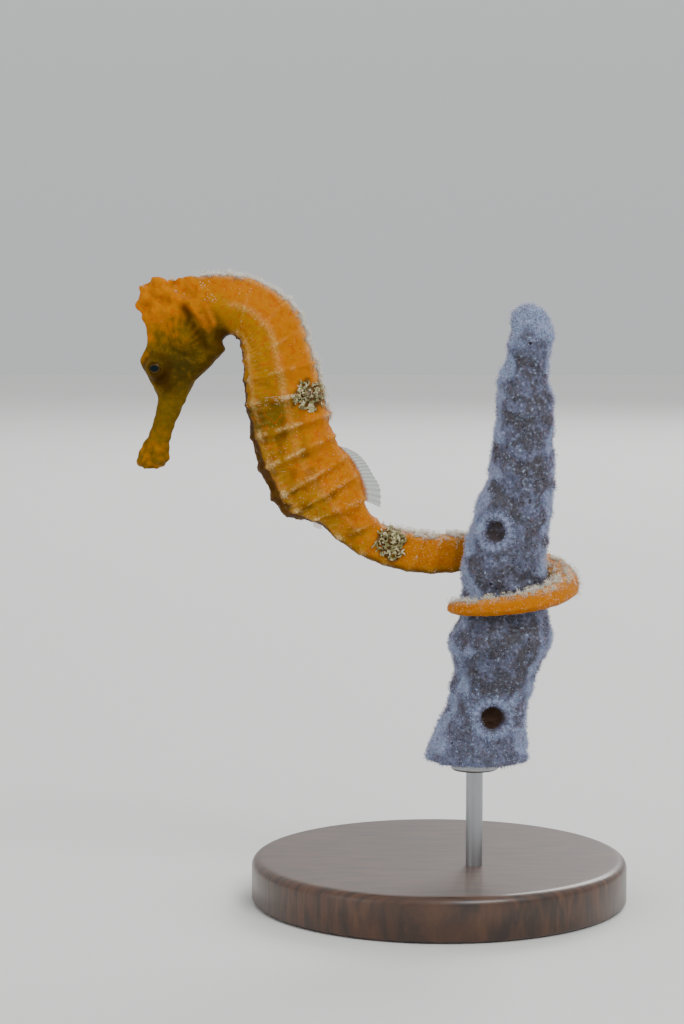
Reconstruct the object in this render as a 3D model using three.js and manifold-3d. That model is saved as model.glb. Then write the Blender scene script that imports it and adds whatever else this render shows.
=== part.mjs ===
// A longsnout seahorse, life size, holding a cut length of rope sponge with its tail, on a plain
// display stand. Millimetres, +Z up. The animal faces -X, its left side is towards -Y, and its mid
// plane is y = 0 down to the tail.
// The origin is the centre of the stand's underside.
import * as THREE from "three";
import { mergeVertices } from "three/addons/utils/BufferGeometryUtils.js";
import Module from "manifold-3d";

const wasm = await Module();
wasm.setup();

const GAP = 0.3; // thin cut between neighbouring pieces
const DEGREE = Math.PI / 180;

// ---- Materials ----
const finish = (color, roughness, metalness = 0) =>
  new THREE.MeshStandardMaterial({ color, roughness, metalness });
const SKIN = finish(0xe8860f, 0.6);
const SNOUT_SKIN = finish(0x9a7414, 0.6);
const FIN = finish(0x8fb09a, 0.4);
const EYE = finish(0x23302c, 0.15);
const SPONGE = finish(0x8088ae, 0.9);
const STEEL = finish(0xb9bcc0, 0.3, 1);
const BASE_WOOD = finish(0x3a2a20, 0.45);

// ---- Solids ----
// A geometry's closed surface as a solid: only positions are kept, and shared corners are merged.
function solid(geometry) {
  const bare = geometry.clone();
  bare.deleteAttribute("normal");
  bare.deleteAttribute("uv");
  const merged = mergeVertices(bare, 1e-4);
  return new wasm.Manifold(
    new wasm.Mesh({
      numProp: 3,
      vertProperties: new Float32Array(merged.attributes.position.array),
      triVerts: new Uint32Array(merged.index.array),
    }),
  );
}

// A solid as a geometry again.
function geometryOf(made) {
  const mesh = made.getMesh();
  const geometry = new THREE.BufferGeometry();
  geometry.setAttribute(
    "position",
    new THREE.BufferAttribute(new Float32Array(mesh.vertProperties), 3),
  );
  geometry.setIndex(new THREE.BufferAttribute(new Uint32Array(mesh.triVerts), 1));
  geometry.computeVertexNormals();
  return geometry;
}

const group = new THREE.Group();

function addPiece(name, made, material) {
  const mesh = new THREE.Mesh(geometryOf(made), material);
  mesh.name = name;
  group.add(mesh);
}

// An ellipsoid of given half axes, turned about Y and then moved to its centre.
function ellipsoid([x, y, z], [halfX, halfY, halfZ], turnY = 0, around = 14, down = 9) {
  const ball = new THREE.SphereGeometry(1, around, down);
  ball.rotateX(Math.PI / 2);
  ball.scale(halfX, halfY, halfZ);
  ball.rotateY(turnY * DEGREE);
  ball.translate(x, y, z);
  return solid(ball);
}

// A round rod between two heights on a vertical line.
function uprightRod(x, y, low, high, radius, sides = 20) {
  const rod = new THREE.CylinderGeometry(radius, radius, high - low, sides);
  rod.rotateX(Math.PI / 2);
  rod.translate(x, y, (low + high) / 2);
  return solid(rod);
}

// Rings of points joined into one closed skin, each end closed on its own middle.
// Rings run so that the surface faces outwards; each ring has the same number of points.
function loft(rings) {
  const count = rings[0].length;
  const points = rings.flat();
  const triangles = [];
  for (let ring = 0; ring < rings.length - 1; ring++)
    for (let side = 0; side < count; side++) {
      const next = (side + 1) % count;
      const a = ring * count + side;
      const b = ring * count + next;
      triangles.push(a, a + count, b, b, a + count, b + count);
    }
  const middle = (ring) =>
    ring.reduce((sum, p) => sum.add(p), new THREE.Vector3()).multiplyScalar(1 / count);
  points.push(middle(rings[0]), middle(rings.at(-1)));
  const first = points.length - 2;
  const offset = (rings.length - 1) * count;
  for (let side = 0; side < count; side++) {
    const next = (side + 1) % count;
    triangles.push(first, side, next);
    triangles.push(first + 1, offset + next, offset + side);
  }
  const geometry = new THREE.BufferGeometry().setFromPoints(points);
  geometry.setIndex(triangles);
  const made = solid(geometry);
  if (made.volume() > 0) return made;
  geometry.setIndex(triangles.reverse());
  return solid(geometry);
}

const mix = (a, b, share) => a + (b - a) * share;
const clamp01 = (value) => Math.min(1, Math.max(0, value));
const smooth = (low, high, value) => {
  const share = clamp01((value - low) / (high - low));
  return share * share * (3 - 2 * share);
};

// Rows of numbers read as one smooth curve: a uniform Catmull-Rom spline over the row index.
function readRows(rows, at) {
  const last = rows.length - 1;
  const here = Math.min(last - 1, Math.max(0, Math.floor(at)));
  const share = at - here;
  const [p, q, r, s] = [-1, 0, 1, 2].map((k) => rows[Math.min(last, Math.max(0, here + k))]);
  return q.map(
    (value, k) =>
      0.5 *
      (2 * value +
        (r[k] - p[k]) * share +
        (2 * p[k] - 5 * value + 4 * r[k] - s[k]) * share ** 2 +
        (3 * value - p[k] - 3 * r[k] + s[k]) * share ** 3),
  );
}

// ---- Perch: a finger of rope sponge, cut level at its foot, its own round tip on top ----
const PERCH_Y = -8; // it stands nearer the viewer than the animal's mid plane
const PERCH_CUT = 27.2;
// height, centre x, radius
const PERCH_ROWS = [
  [PERCH_CUT, 6.4, 8.8],
  [30.5, 6.7, 8.5],
  [34.3, 7.8, 7.6],
  [39, 8.7, 6.9],
  [44.6, 10.1, 7.6],
  [48.2, 10.2, 9.0],
  [51.7, 11.1, 8.2],
  [55.4, 11.1, 7.2],
  [60.6, 11.0, 7.2],
  [66.2, 11.7, 7.0],
  [73.3, 13.0, 6.5],
  [77.5, 14.1, 5.8],
  [84, 14.5, 5.3],
  [91, 14.8, 4.9],
  [93.8, 14.4, 4.1],
  [98.3, 15.2, 3.8],
  [103, 15.7, 3.7],
  [106, 15.5, 2.9],
  [107.7, 15.3, 1.3],
];
const PERCH_TOP = 108.3;
const PERCH_SIDES = 18;

function perchAt(height) {
  const last = PERCH_ROWS.length - 1;
  let row = PERCH_ROWS.findIndex(([z]) => z > height) - 1;
  if (row < 0) row = height <= PERCH_CUT ? 0 : last - 1;
  const [low, high] = [PERCH_ROWS[row][0], PERCH_ROWS[row + 1][0]];
  const [, x, radius] = readRows(PERCH_ROWS, row + clamp01((height - low) / (high - low)));
  return { x, radius };
}

// ---- Body: stations from the lips to the tip of the tail ----
// A station holds the section's centre, its half vector to the back and its half vector to the left
// side, then how much it narrows towards the back (crest), and how far it is seven-sided (trunk) or
// four-sided (tail).
function station(backX, backZ, bellyX, bellyZ, halfWidth, crest, seven, four, y = 0) {
  const centre = [(backX + bellyX) / 2, y, (backZ + bellyZ) / 2];
  const toBack = [(backX - bellyX) / 2, 0, (backZ - bellyZ) / 2];
  return [...centre, ...toBack, 0, -halfWidth, 0, crest, seven, four];
}

const SNOUT = [
  station(-53.9, 78.3, -50.4, 78.1, 1.4, 0, 0, 0),
  station(-54.9, 80.2, -48.7, 79.6, 2.4, 0, 0, 0),
  station(-52.9, 83.3, -48.5, 82.1, 2.0, 0, 0, 0),
  station(-51.7, 86.4, -47.9, 85.3, 1.75, 0, 0, 0),
  station(-50.7, 91.0, -45.9, 89.7, 2.1, 0, 0, 0),
];
const HEAD = [
  station(-51.7, 92.8, -44.6, 92.6, 2.9, 0.15, 0, 0),
  station(-52.4, 95.1, -43.2, 94.6, 3.4, 0.2, 0, 0),
  station(-54.0, 97.7, -41.7, 95.9, 3.8, 0.35, 0, 0),
  station(-52.6, 101.2, -39.9, 97.9, 4.2, 0.45, 0, 0),
  station(-53.3, 105.1, -38.4, 99.4, 4.5, 0.6, 0, 0),
  station(-54.8, 107.6, -38.6, 100.5, 4.6, 0.65, 0, 0),
  station(-53.7, 111.1, -38.7, 101.2, 4.6, 0.62, 0.1, 0),
  station(-51.3, 112.9, -38.4, 101.7, 4.5, 0.6, 0.2, 0),
  station(-48.8, 112.2, -38.1, 102.0, 4.4, 0.5, 0.3, 0),
  station(-46.6, 113.1, -37.8, 102.1, 4.3, 0.4, 0.5, 0),
];
const NECK = [
  station(-43.2, 113.4, -37.4, 102.2, 4.2, 0.3, 0.7, 0),
  station(-38.7, 114.0, -37.0, 102.1, 4.1, 0.25, 1, 0),
  station(-34.1, 113.4, -36.4, 101.7, 4.1, 0.2, 1, 0),
  station(-29.8, 111.5, -36.0, 101.1, 4.2, 0.2, 1, 0),
  station(-26.5, 109.0, -35.7, 100.1, 4.4, 0.2, 1, 0),
  station(-24.4, 106.5, -35.6, 98.8, 4.5, 0.2, 1, 0),
  station(-23.3, 103.2, -35.4, 97.2, 4.6, 0.2, 1, 0),
  station(-22.2, 99.6, -35.3, 95.2, 4.8, 0.2, 1, 0),
];
const TRUNK = [
  station(-21.1, 95.9, -35.2, 92.9, 5.0, 0.2, 1, 0),
  station(-20.2, 92.3, -35.0, 89.3, 5.2, 0.2, 1, 0),
  station(-19.6, 88.9, -34.1, 84.8, 5.4, 0.2, 1, 0),
  station(-19.0, 85.6, -32.9, 79.7, 5.5, 0.2, 1, 0),
  station(-17.6, 82.4, -31.3, 75.4, 5.5, 0.22, 1, 0),
  station(-15.4, 79.5, -29.1, 71.1, 5.3, 0.27, 0.95, 0.05),
  station(-13.8, 76.0, -26.1, 69.1, 4.8, 0.28, 0.8, 0.2),
  station(-13.3, 72.3, -22.4, 68.5, 4.3, 0.2, 0.5, 0.5),
];
const TAIL = [
  station(-10.6, 69.1, -18.3, 65.2, 3.8, 0.1, 0, 0.7),
  station(-7.5, 67.9, -13.8, 62.2, 3.6, 0.1, 0, 0.6),
  station(-3.9, 67.1, -8.4, 60.2, 3.4, 0.05, 0, 0.55),
  station(0.0, 66.8, -2.2, 59.2, 3.3, 0.05, 0, 0.5, 0.3),
  station(4.1, 66.7, 3.7, 59.4, 3.2, 0, 0, 0.45, 1.5),
];

// The tail's coil goes once round the perch: behind it, past its right side, across its front and
// on to the back.
const COIL_STATIONS = 10;
const COIL_START = 90; // degrees round the perch, where 90 is straight behind it
const COIL_TURN = 345;
const COIL_THICK = 3.3; // half depth where the coil starts
const COIL_TIP = 0.45;
const COIL_LOW = 53.9; // height of the tip
const COIL_DROP = 8.6; // how much higher the coil starts
const COIL_CLEAR = 0.45; // between the tail and the widest perch beside it
const COIL_BULGE = 1.0; // the coil stands off the perch's right side
const COIL_SQUARE = 0.35; // how far its section is four-sided

function coilStation(index) {
  const share = index / (COIL_STATIONS - 1);
  const turn = COIL_START - COIL_TURN * share;
  const half = mix(COIL_THICK, COIL_TIP, share);
  const height = COIL_LOW + COIL_DROP * (1 - share) ** 2.1;
  const beside = [-half, 0, half].map((dz) => perchAt(height + dz).radius);
  const bulge = COIL_BULGE * Math.exp(-(((turn - 5) / 45) ** 2));
  const radius = Math.max(...beside) + half + COIL_CLEAR + bulge;
  const outward = new THREE.Vector3(Math.cos(turn * DEGREE), Math.sin(turn * DEGREE), 0);
  const along = new THREE.Vector3(Math.sin(turn * DEGREE), -Math.cos(turn * DEGREE), 0);
  const lift = (20 + 40 * (1 - smooth(0, 0.12, share))) * DEGREE;
  const toBack = outward.clone().multiplyScalar(Math.cos(lift));
  toBack.z = Math.sin(lift);
  const toLeft = along.clone().cross(toBack);
  const centre = outward.multiplyScalar(radius);
  centre.add(new THREE.Vector3(perchAt(height).x, PERCH_Y, height));
  toBack.multiplyScalar(half);
  toLeft.multiplyScalar(half * 0.95);
  return [...centre.toArray(), ...toBack.toArray(), ...toLeft.toArray(), 0, 0, COIL_SQUARE];
}
const COIL = Array.from({ length: COIL_STATIONS }, (_, index) => coilStation(index));

const STATIONS = [...SNOUT, ...HEAD, ...NECK, ...TRUNK, ...TAIL, ...COIL];
const HEAD_AT = SNOUT.length - 0.5; // where the snout joins the head, in stations
const NECK_AT = SNOUT.length + HEAD.length - 0.5;
const TRUNK_AT = NECK_AT + NECK.length;
const TAIL_AT = TRUNK_AT + TRUNK.length;
const COIL_AT = TAIL_AT + TAIL.length + 0.5;
const TIP_AT = STATIONS.length - 1;

// Distance along the body's centre line at many places, to space the bony rings.
const TRACE_STEPS = 1200;
const trace = [{ at: 0, length: 0 }];
let before = readRows(STATIONS, 0);
for (let step = 1; step <= TRACE_STEPS; step++) {
  const at = (TIP_AT * step) / TRACE_STEPS;
  const row = readRows(STATIONS, at);
  const moved = Math.hypot(row[0] - before[0], row[1] - before[1], row[2] - before[2]);
  trace.push({ at, length: trace.at(-1).length + moved });
  before = row;
}
const lengthAt = (at) => {
  const place = clamp01(at / TIP_AT) * TRACE_STEPS;
  const low = Math.min(TRACE_STEPS - 1, Math.floor(place));
  return mix(trace[low].length, trace[low + 1].length, place - low);
};
const placeAt = (length) => {
  const high = Math.max(1, trace.findIndex((step) => step.length >= length));
  const low = trace[high - 1];
  return mix(low.at, trace[high].at, (length - low.length) / (trace[high].length - low.length));
};

// Bony rings: eleven round the trunk and thirty-five round the tail, closer towards its tip.
// Shares of the trunk's length where its rings lie, from the first behind the head:
const TRUNK_RING_SHARES = [
  0.038, 0.128, 0.215, 0.3, 0.393, 0.486, 0.59, 0.688, 0.79, 0.865, 0.935,
];
const TRUNK_RINGS = TRUNK_RING_SHARES.length;
const TAIL_RINGS = 35;
const FIRST_RING = 0.42; // how far the head's end lies before the first ring, in rings
const TAIL_RING_CROWDING = 1.5; // how many more rings the tip has in a length than the root has
const trunkStart = lengthAt(NECK_AT);
const tailStart = lengthAt(TAIL_AT);
const tailEnd = lengthAt(TIP_AT);
// A count along the body that is whole on each ring.
const RING_MARKS = [
  [0, -FIRST_RING],
  ...TRUNK_RING_SHARES.map((share, ring) => [share, ring]),
  [1, TRUNK_RINGS - FIRST_RING],
];
const betweenMarks = (value, from, to) => {
  const next = Math.max(1, RING_MARKS.findIndex((mark) => mark[from] >= value));
  const [low, high] = [RING_MARKS[next - 1], RING_MARKS[next]];
  return mix(low[to], high[to], (value - low[from]) / (high[from] - low[from]));
};
const ringPhase = (length) => {
  if (length < trunkStart) return null;
  if (length < tailStart) return betweenMarks((length - trunkStart) / (tailStart - trunkStart), 0, 1);
  const share = clamp01((length - tailStart) / (tailEnd - tailStart));
  const crowded = share + (TAIL_RING_CROWDING * share ** 2) / 2;
  return TRUNK_RINGS - FIRST_RING + (crowded / (1 + TAIL_RING_CROWDING / 2)) * TAIL_RINGS;
};

// A section's outline in units of its half vectors: the smooth hull of flat faces with these
// directions.
const SEVEN_FACES = [0, 58, 118, 165, 195, 242, 302];
const FOUR_FACES = [0, 90, 180, 270];
function faceted(angle, faces, sharpness) {
  const sum = faces.reduce(
    (total, face) => total + Math.max(0, Math.cos((angle - face) * DEGREE)) ** sharpness,
    0,
  );
  return sum ** (-1 / sharpness);
}

const RING_RISE = 0.28; // how far a ring stands above the skin between rings
const KNOB_RISE = 0.3; // how much more where a ring crosses a ridge
const RIDGES = [30, 88, 141, 180, 219, 272, 330]; // directions of the trunk's seven ridges

// The body's surface at a station, an angle from the back towards the left side, in degrees.
function skinPoint(at, angle) {
  const row = readRows(STATIONS, at);
  const [centre, toBack, toLeft] = [0, 3, 6].map((k) => new THREE.Vector3(...row.slice(k, k + 3)));
  const [crest, seven, four] = row.slice(9).map(clamp01);
  const round = clamp01(1 - seven - four);
  const reach =
    round + seven * faceted(angle, SEVEN_FACES, 9) + four * faceted(angle, FOUR_FACES, 7) * 0.97;
  const up = reach * Math.cos(angle * DEGREE);
  const side = reach * Math.sin(angle * DEGREE) * (1 - crest * clamp01((1 + up) / 2) ** 1.4);
  const phase = ringPhase(lengthAt(at));
  let rise = 0;
  if (phase !== null && at < TIP_AT - 0.5) {
    const wave = Math.cos(phase * 2 * Math.PI) * smooth(0, 0.6, phase);
    const ridge = Math.max(...RIDGES.map((ridgeAt) => Math.cos((angle - ridgeAt) * DEGREE))) ** 60;
    const size = clamp01(toBack.length() / 6);
    rise = wave * size * (RING_RISE + KNOB_RISE * ridge * seven) * 0.5;
  }
  const point = centre.clone();
  point.addScaledVector(toBack, up * (1 + rise / toBack.length()));
  point.addScaledVector(toLeft, side * (1 + rise / toLeft.length()));
  return point;
}

// A length of the body between two stations, with a row of points at each given place.
function bodyLength(places, sides) {
  const angles = Array.from({ length: sides }, (_, side) => (360 * side) / sides);
  return loft(places.map((at) => angles.map((angle) => skinPoint(at, angle))));
}

const evenly = (low, high, count) =>
  Array.from({ length: count }, (_, k) => mix(low, high, k / (count - 1)));

// Places between two stations, a set number for each bony ring, with half a cut left at each end.
function ringPlaces(from, to, perRing) {
  const low = lengthAt(from) + GAP / 2;
  const high = lengthAt(to) - (to < TIP_AT ? GAP / 2 : 0);
  const rings = ringPhase(high) - ringPhase(low);
  const count = Math.max(3, Math.round(rings * perRing) + 1);
  const fine = evenly(low, high, 400);
  const phases = fine.map(ringPhase);
  return evenly(phases[0], phases.at(-1), count).map((phase) => {
    const next = Math.max(1, phases.findIndex((value) => value >= phase - 1e-9));
    const share = (phase - phases[next - 1]) / (phases[next] - phases[next - 1]);
    return placeAt(mix(fine[next - 1], fine[next], clamp01(share)));
  });
}

const cutPlaces = (from, to, count) => {
  const low = from > 0 ? placeAt(lengthAt(from) + GAP / 2) : 0;
  return evenly(low, placeAt(lengthAt(to) - GAP / 2), count);
};

// ---- Head, with its sockets, gill covers and coronet ----
const HEAD_SIDES = 22;
const HEAD_ROWS = 20;
const EYE_CENTRE = [-50.8, 2.4, 96.5]; // right eye; the left one is its mirror image
const EYE_RADIUS = 1.75;
const ORBIT_RIM = 0.45; // skin round the eye
const GILL_CENTRE = [-45.6, 3.35, 102.6];
const GILL_HALF = [2.9, 1.35, 3.7];
const GILL_TURN = -22;
const CORONET_CUT = [-53.6, 110.2]; // a point on the plane under the coronet
const CORONET_TURN = 40; // that plane's slope, in degrees
const grown = (sizes, by) => sizes.map((size) => size + by);
const mirrored = ([x, y, z]) => [x, -y, z];

let head = bodyLength(cutPlaces(HEAD_AT, NECK_AT, HEAD_ROWS), HEAD_SIDES);
const SIDES = [
  ["right", (centre) => centre],
  ["left", mirrored],
];
for (const [side, place] of SIDES) {
  const eyeAt = place(EYE_CENTRE);
  const orbit = EYE_RADIUS + ORBIT_RIM;
  head = head.add(ellipsoid(eyeAt, [orbit, orbit * 0.93, orbit]));
  head = head.subtract(ellipsoid(eyeAt, Array(3).fill(EYE_RADIUS + GAP)));
  const bulge = side === "left" ? -0.4 : 0.4;
  const eyeball = [eyeAt[0], eyeAt[1] + bulge, eyeAt[2]];
  addPiece(`eye_${side}`, ellipsoid(eyeball, [1.7, EYE_RADIUS - 0.1, 1.7]), EYE);
  const gillAt = place(GILL_CENTRE);
  const cover = ellipsoid(gillAt, GILL_HALF, GILL_TURN);
  head = head.subtract(ellipsoid(gillAt, grown(GILL_HALF, GAP), GILL_TURN));
  addPiece(`gill_cover_${side}`, cover, SKIN);
}

// The block above a sloping plane, as far above the plane as it is large.
function blockAbove(lift) {
  const block = new THREE.BoxGeometry(10, 20, 20);
  block.translate(0, 0, 10 + lift);
  block.rotateY(-CORONET_TURN * DEGREE);
  block.translate(CORONET_CUT[0] + 2.2, 0, CORONET_CUT[1] - 2.2);
  return solid(block);
}
addPiece("coronet", head.intersect(blockAbove(GAP / 2)), SKIN);
head = head.subtract(blockAbove(-GAP / 2));
addPiece("head", head, SKIN);
addPiece("snout", bodyLength(cutPlaces(0, HEAD_AT, 11), 16), SNOUT_SKIN);

// ---- Neck and trunk, in lengths of whole rings ----
const TRUNK_SIDES = 20;
const RING_ROWS = 4;
const trunkPlace = (ring) => placeAt(mix(trunkStart, tailStart, betweenMarks(ring, 1, 0)));
const NECK_RINGS = 3.5;
const CHEST_RINGS = 7.5;
const TRUNK_PIECES = [
  ["neck", NECK_AT, trunkPlace(NECK_RINGS)],
  ["trunk_upper", trunkPlace(NECK_RINGS), trunkPlace(CHEST_RINGS)],
  ["trunk_lower", trunkPlace(CHEST_RINGS), TAIL_AT],
];
for (const [name, from, to] of TRUNK_PIECES)
  addPiece(name, bodyLength(ringPlaces(from, to, RING_ROWS), TRUNK_SIDES), SKIN);

// ---- Tail, in six lengths ----
const TAIL_SIDES = 12;
const COIL_CUTS = [-0.4, 1.9, 4.2, 6.6].map((past) => COIL_AT + past);
const TAIL_CUTS = [TAIL_AT, TAIL_AT + 2.6, ...COIL_CUTS, TIP_AT];
const TAIL_NAMES = ["base", "middle", "behind_perch", "right_turn", "front", "tip"];
TAIL_NAMES.forEach((name, k) => {
  const places = ringPlaces(TAIL_CUTS[k], TAIL_CUTS[k + 1], 2);
  addPiece(`tail_${name}`, bodyLength(places, TAIL_SIDES), SKIN);
});

// ---- Fins ----
const FIN_THICK = 0.6;
// A thin plate in the animal's mid plane, of an outline in x and z.
function plate(outline, thick = FIN_THICK) {
  const shape = new THREE.Shape(outline.map(([x, z]) => new THREE.Vector2(x, z)));
  const made = new THREE.ExtrudeGeometry(shape, { depth: thick, bevelEnabled: false });
  made.rotateX(Math.PI / 2);
  made.translate(0, thick / 2, 0);
  return made;
}

// The dorsal fin stands on the back's last trunk rings: seventeen rays, longest at the rear.
const FIN_FROM = TRUNK_AT + 3.95; // stations
const FIN_TO = TRUNK_AT + 6.9;
const FIN_RAYS = 17;
const FIN_REACH = 3.3; // length of the middle rays, before they are drawn in towards both ends
const FIN_LEAN = 44; // how far the rays lean towards the tail, in degrees
function finRay(share) {
  const at = mix(FIN_FROM, FIN_TO, share);
  const root = skinPoint(at, 0);
  const ahead = skinPoint(at + 0.5, 0).sub(skinPoint(at - 0.5, 0)).normalize();
  const lean = (FIN_LEAN + 14 * share) * DEGREE;
  const way = new THREE.Vector3(-ahead.z, 0, ahead.x).multiplyScalar(Math.cos(lean));
  way.addScaledVector(ahead, Math.sin(lean));
  const reach = FIN_REACH * (0.45 + 0.75 * Math.sin(Math.PI * (0.12 + 0.5 * share)) ** 1.5);
  const foot = root.clone().addScaledVector(way, GAP * 1.6);
  const tip = foot.clone().addScaledVector(way, reach);
  return { foot: [foot.x, foot.z], tip: [tip.x, tip.z] };
}
const rays = evenly(0, 1, FIN_RAYS).map(finRay);
const finOutline = [...rays.map((ray) => ray.foot), ...rays.map((ray) => ray.tip).reverse()];
addPiece("dorsal_fin", solid(plate(finOutline)), FIN);

// The anal fin is a small fan under the last trunk ring.
const ANAL_AT = TAIL_AT - 0.5;
const ANAL_REACH = 1.3;
const analRoot = skinPoint(ANAL_AT, 180);
const analOutline = [
  [analRoot.x - 1.1, analRoot.z - GAP * 1.2],
  [analRoot.x + 0.7, analRoot.z - GAP * 1.9],
  [analRoot.x + 1.2, analRoot.z - GAP - ANAL_REACH],
  [analRoot.x - 0.2, analRoot.z - GAP - ANAL_REACH * 0.9],
];
addPiece("anal_fin", solid(plate(analOutline)), FIN);

// Each pectoral fin is a fan behind the gill cover, standing a little off the neck.
const PECTORAL_ROOT = [-42.6, 4.35, 105.4];
const PECTORAL_REACH = 3.6;
const PECTORAL_SPREAD = [200, 300]; // directions of its first and last ray in the side view, in degrees
const PECTORAL_OPEN = 28; // how far it stands off the side
function pectoral(side) {
  const fan = evenly(...PECTORAL_SPREAD, 9).map((turn) => [
    PECTORAL_REACH * Math.cos((turn + 35) * DEGREE),
    PECTORAL_REACH * Math.sin((turn + 35) * DEGREE),
  ]);
  const made = plate([[-0.5, 0.5], ...fan, [0.5, 0.3]], FIN_THICK - 0.1);
  made.rotateX(side * PECTORAL_OPEN * DEGREE);
  made.translate(PECTORAL_ROOT[0], side * PECTORAL_ROOT[1], PECTORAL_ROOT[2]);
  return solid(made);
}
addPiece("pectoral_fin_right", pectoral(1), FIN);
addPiece("pectoral_fin_left", pectoral(-1), FIN);

// ---- Perch, with its vents and the hole for the stand's rod ----
const ROD_RADIUS = 1.5;
const ROD_X = 6.0;
const ROD_IN_PERCH = 7;
const perchRings = PERCH_ROWS.map(([z]) => {
  const { x, radius } = perchAt(z);
  return evenly(0, 360 - 360 / PERCH_SIDES, PERCH_SIDES).map((turn) => {
    const reach = radius * (1 + 0.02 * Math.sin(3 * turn * DEGREE + z * 0.5));
    return new THREE.Vector3(
      x + reach * Math.cos(turn * DEGREE),
      PERCH_Y + reach * Math.sin(turn * DEGREE),
      z,
    );
  });
});
const perchTip = new THREE.Vector3(PERCH_ROWS.at(-1)[1], PERCH_Y, PERCH_TOP);
const TIP_ROUNDING = 0.75; // how far the last ring is drawn in towards the tip
perchRings.push(
  perchRings.at(-1).map((point) => point.clone().setZ(PERCH_TOP).lerp(perchTip, TIP_ROUNDING)),
);
let perch = loft(perchRings);
// Vents: height, direction round the perch in degrees, radius
const VENTS = [
  [68.2, -118, 2.1],
  [35.4, -83, 2.2],
  [82, 70, 1.7],
  [44, 120, 2.0],
  [96, 160, 1.3],
  [31.5, 35, 1.9],
];
const VENT_DEPTH = 3;
for (const [height, turn, radius] of VENTS) {
  const { x, radius: wall } = perchAt(height);
  const vent = new THREE.CylinderGeometry(radius, radius * 0.7, VENT_DEPTH * 2, 12);
  vent.rotateZ(-Math.PI / 2);
  vent.translate(wall, 0, 0);
  vent.rotateZ(turn * DEGREE);
  vent.translate(x, PERCH_Y, height);
  perch = perch.subtract(solid(vent));
}
perch = perch.subtract(
  uprightRod(ROD_X, PERCH_Y, PERCH_CUT - 1, PERCH_CUT + ROD_IN_PERCH + GAP, ROD_RADIUS + GAP),
);
addPiece("perch_sponge", perch, SPONGE);

// ---- Stand: a turned base, a steel rod and the collar that the perch sits on ----
const BASE_RADIUS = 34;
const BASE_HEIGHT = 8;
const BASE_CHAMFER = 1.6;
const ROD_IN_BASE = 5;
const COLLAR_RADIUS = 4.2;
const COLLAR_HEIGHT = 1.6;
const BASE_SIDES = 60;
const baseProfile = [
  [0, 0],
  [BASE_RADIUS - 0.8, 0],
  [BASE_RADIUS, 0.8],
  [BASE_RADIUS, BASE_HEIGHT - BASE_CHAMFER],
  [BASE_RADIUS - BASE_CHAMFER, BASE_HEIGHT],
  [0, BASE_HEIGHT],
].map(([r, z]) => new THREE.Vector2(r, z));
const baseTurned = new THREE.LatheGeometry(baseProfile, BASE_SIDES);
baseTurned.rotateX(Math.PI / 2);
const base = solid(baseTurned).subtract(
  uprightRod(ROD_X, PERCH_Y, BASE_HEIGHT - ROD_IN_BASE - GAP, BASE_HEIGHT + 1, ROD_RADIUS + GAP),
);
addPiece("stand_base", base, BASE_WOOD);
const rod = uprightRod(
  ROD_X,
  PERCH_Y,
  BASE_HEIGHT - ROD_IN_BASE,
  PERCH_CUT + ROD_IN_PERCH,
  ROD_RADIUS,
);
const collarTop = PERCH_CUT - GAP;
const collar = uprightRod(ROD_X, PERCH_Y, collarTop - COLLAR_HEIGHT, collarTop, COLLAR_RADIUS, 28);
addPiece("stand_rod", rod.add(collar), STEEL);

export default group;
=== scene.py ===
"""A longsnout seahorse holding a cut finger of rope sponge: a life-size museum model on a turned stand."""

import bpy
import numpy as np
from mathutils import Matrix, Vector


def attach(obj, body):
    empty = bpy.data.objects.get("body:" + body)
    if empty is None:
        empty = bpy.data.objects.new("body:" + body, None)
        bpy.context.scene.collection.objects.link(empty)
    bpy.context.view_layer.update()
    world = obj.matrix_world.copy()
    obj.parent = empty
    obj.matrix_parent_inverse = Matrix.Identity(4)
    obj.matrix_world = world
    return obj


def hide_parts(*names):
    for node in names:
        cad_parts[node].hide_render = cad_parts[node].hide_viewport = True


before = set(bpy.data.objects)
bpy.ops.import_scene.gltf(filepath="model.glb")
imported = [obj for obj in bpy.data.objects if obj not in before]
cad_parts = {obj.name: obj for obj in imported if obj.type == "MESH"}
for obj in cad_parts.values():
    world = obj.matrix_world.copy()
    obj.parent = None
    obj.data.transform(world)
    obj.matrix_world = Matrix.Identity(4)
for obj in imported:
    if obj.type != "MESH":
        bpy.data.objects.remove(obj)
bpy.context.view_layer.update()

# ---- The sponge finger ----
# The real one is a finger of rope sponge, cut level at its foot: springy fibre full of small pores, with a few
# round vents. It sits on the stand's collar, with the rod glued up into its foot. Sizes here are in
# millimetres, as in the solids, and MM turns them into metres.

MM = 0.001
PERCH_Y = -8.0
# height, centre x, radius
PERCH_ROWS = [
    (27.2, 6.4, 8.6), (30.5, 6.7, 8.3), (34.3, 7.8, 7.4), (39, 8.7, 6.7), (44.6, 10.1, 7.4), (48.2, 10.2, 8.8),
    (51.7, 11.1, 8.0), (55.4, 11.1, 7.0), (60.6, 11.0, 7.0), (66.2, 11.7, 6.8), (73.3, 13.0, 6.3),
    (77.5, 14.1, 5.6), (84, 14.5, 5.1), (91, 14.8, 4.7), (93.8, 14.4, 3.95), (98.3, 15.2, 3.65), (103, 15.7, 3.5),
    (106, 15.5, 2.7), (107.4, 15.4, 1.5), (107.9, 15.3, 0.3),
]
# height, direction round the finger in degrees, radius of each vent, how dark the painted shade on its floor is
PERCH_VENTS = [
    (68.2, -118, 2.2, 0.6), (35.4, -83, 2.4, 1), (82, 70, 1.8, 1), (44, 120, 2.1, 1), (96, 160, 1.4, 1),
    (31.5, 35, 2.0, 1), (59.0, -112, 0.35, 1), (73.5, -70, 0.4, 1), (49.5, -60, 0.35, 1), (101, -95, 0.35, 1),
]


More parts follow.
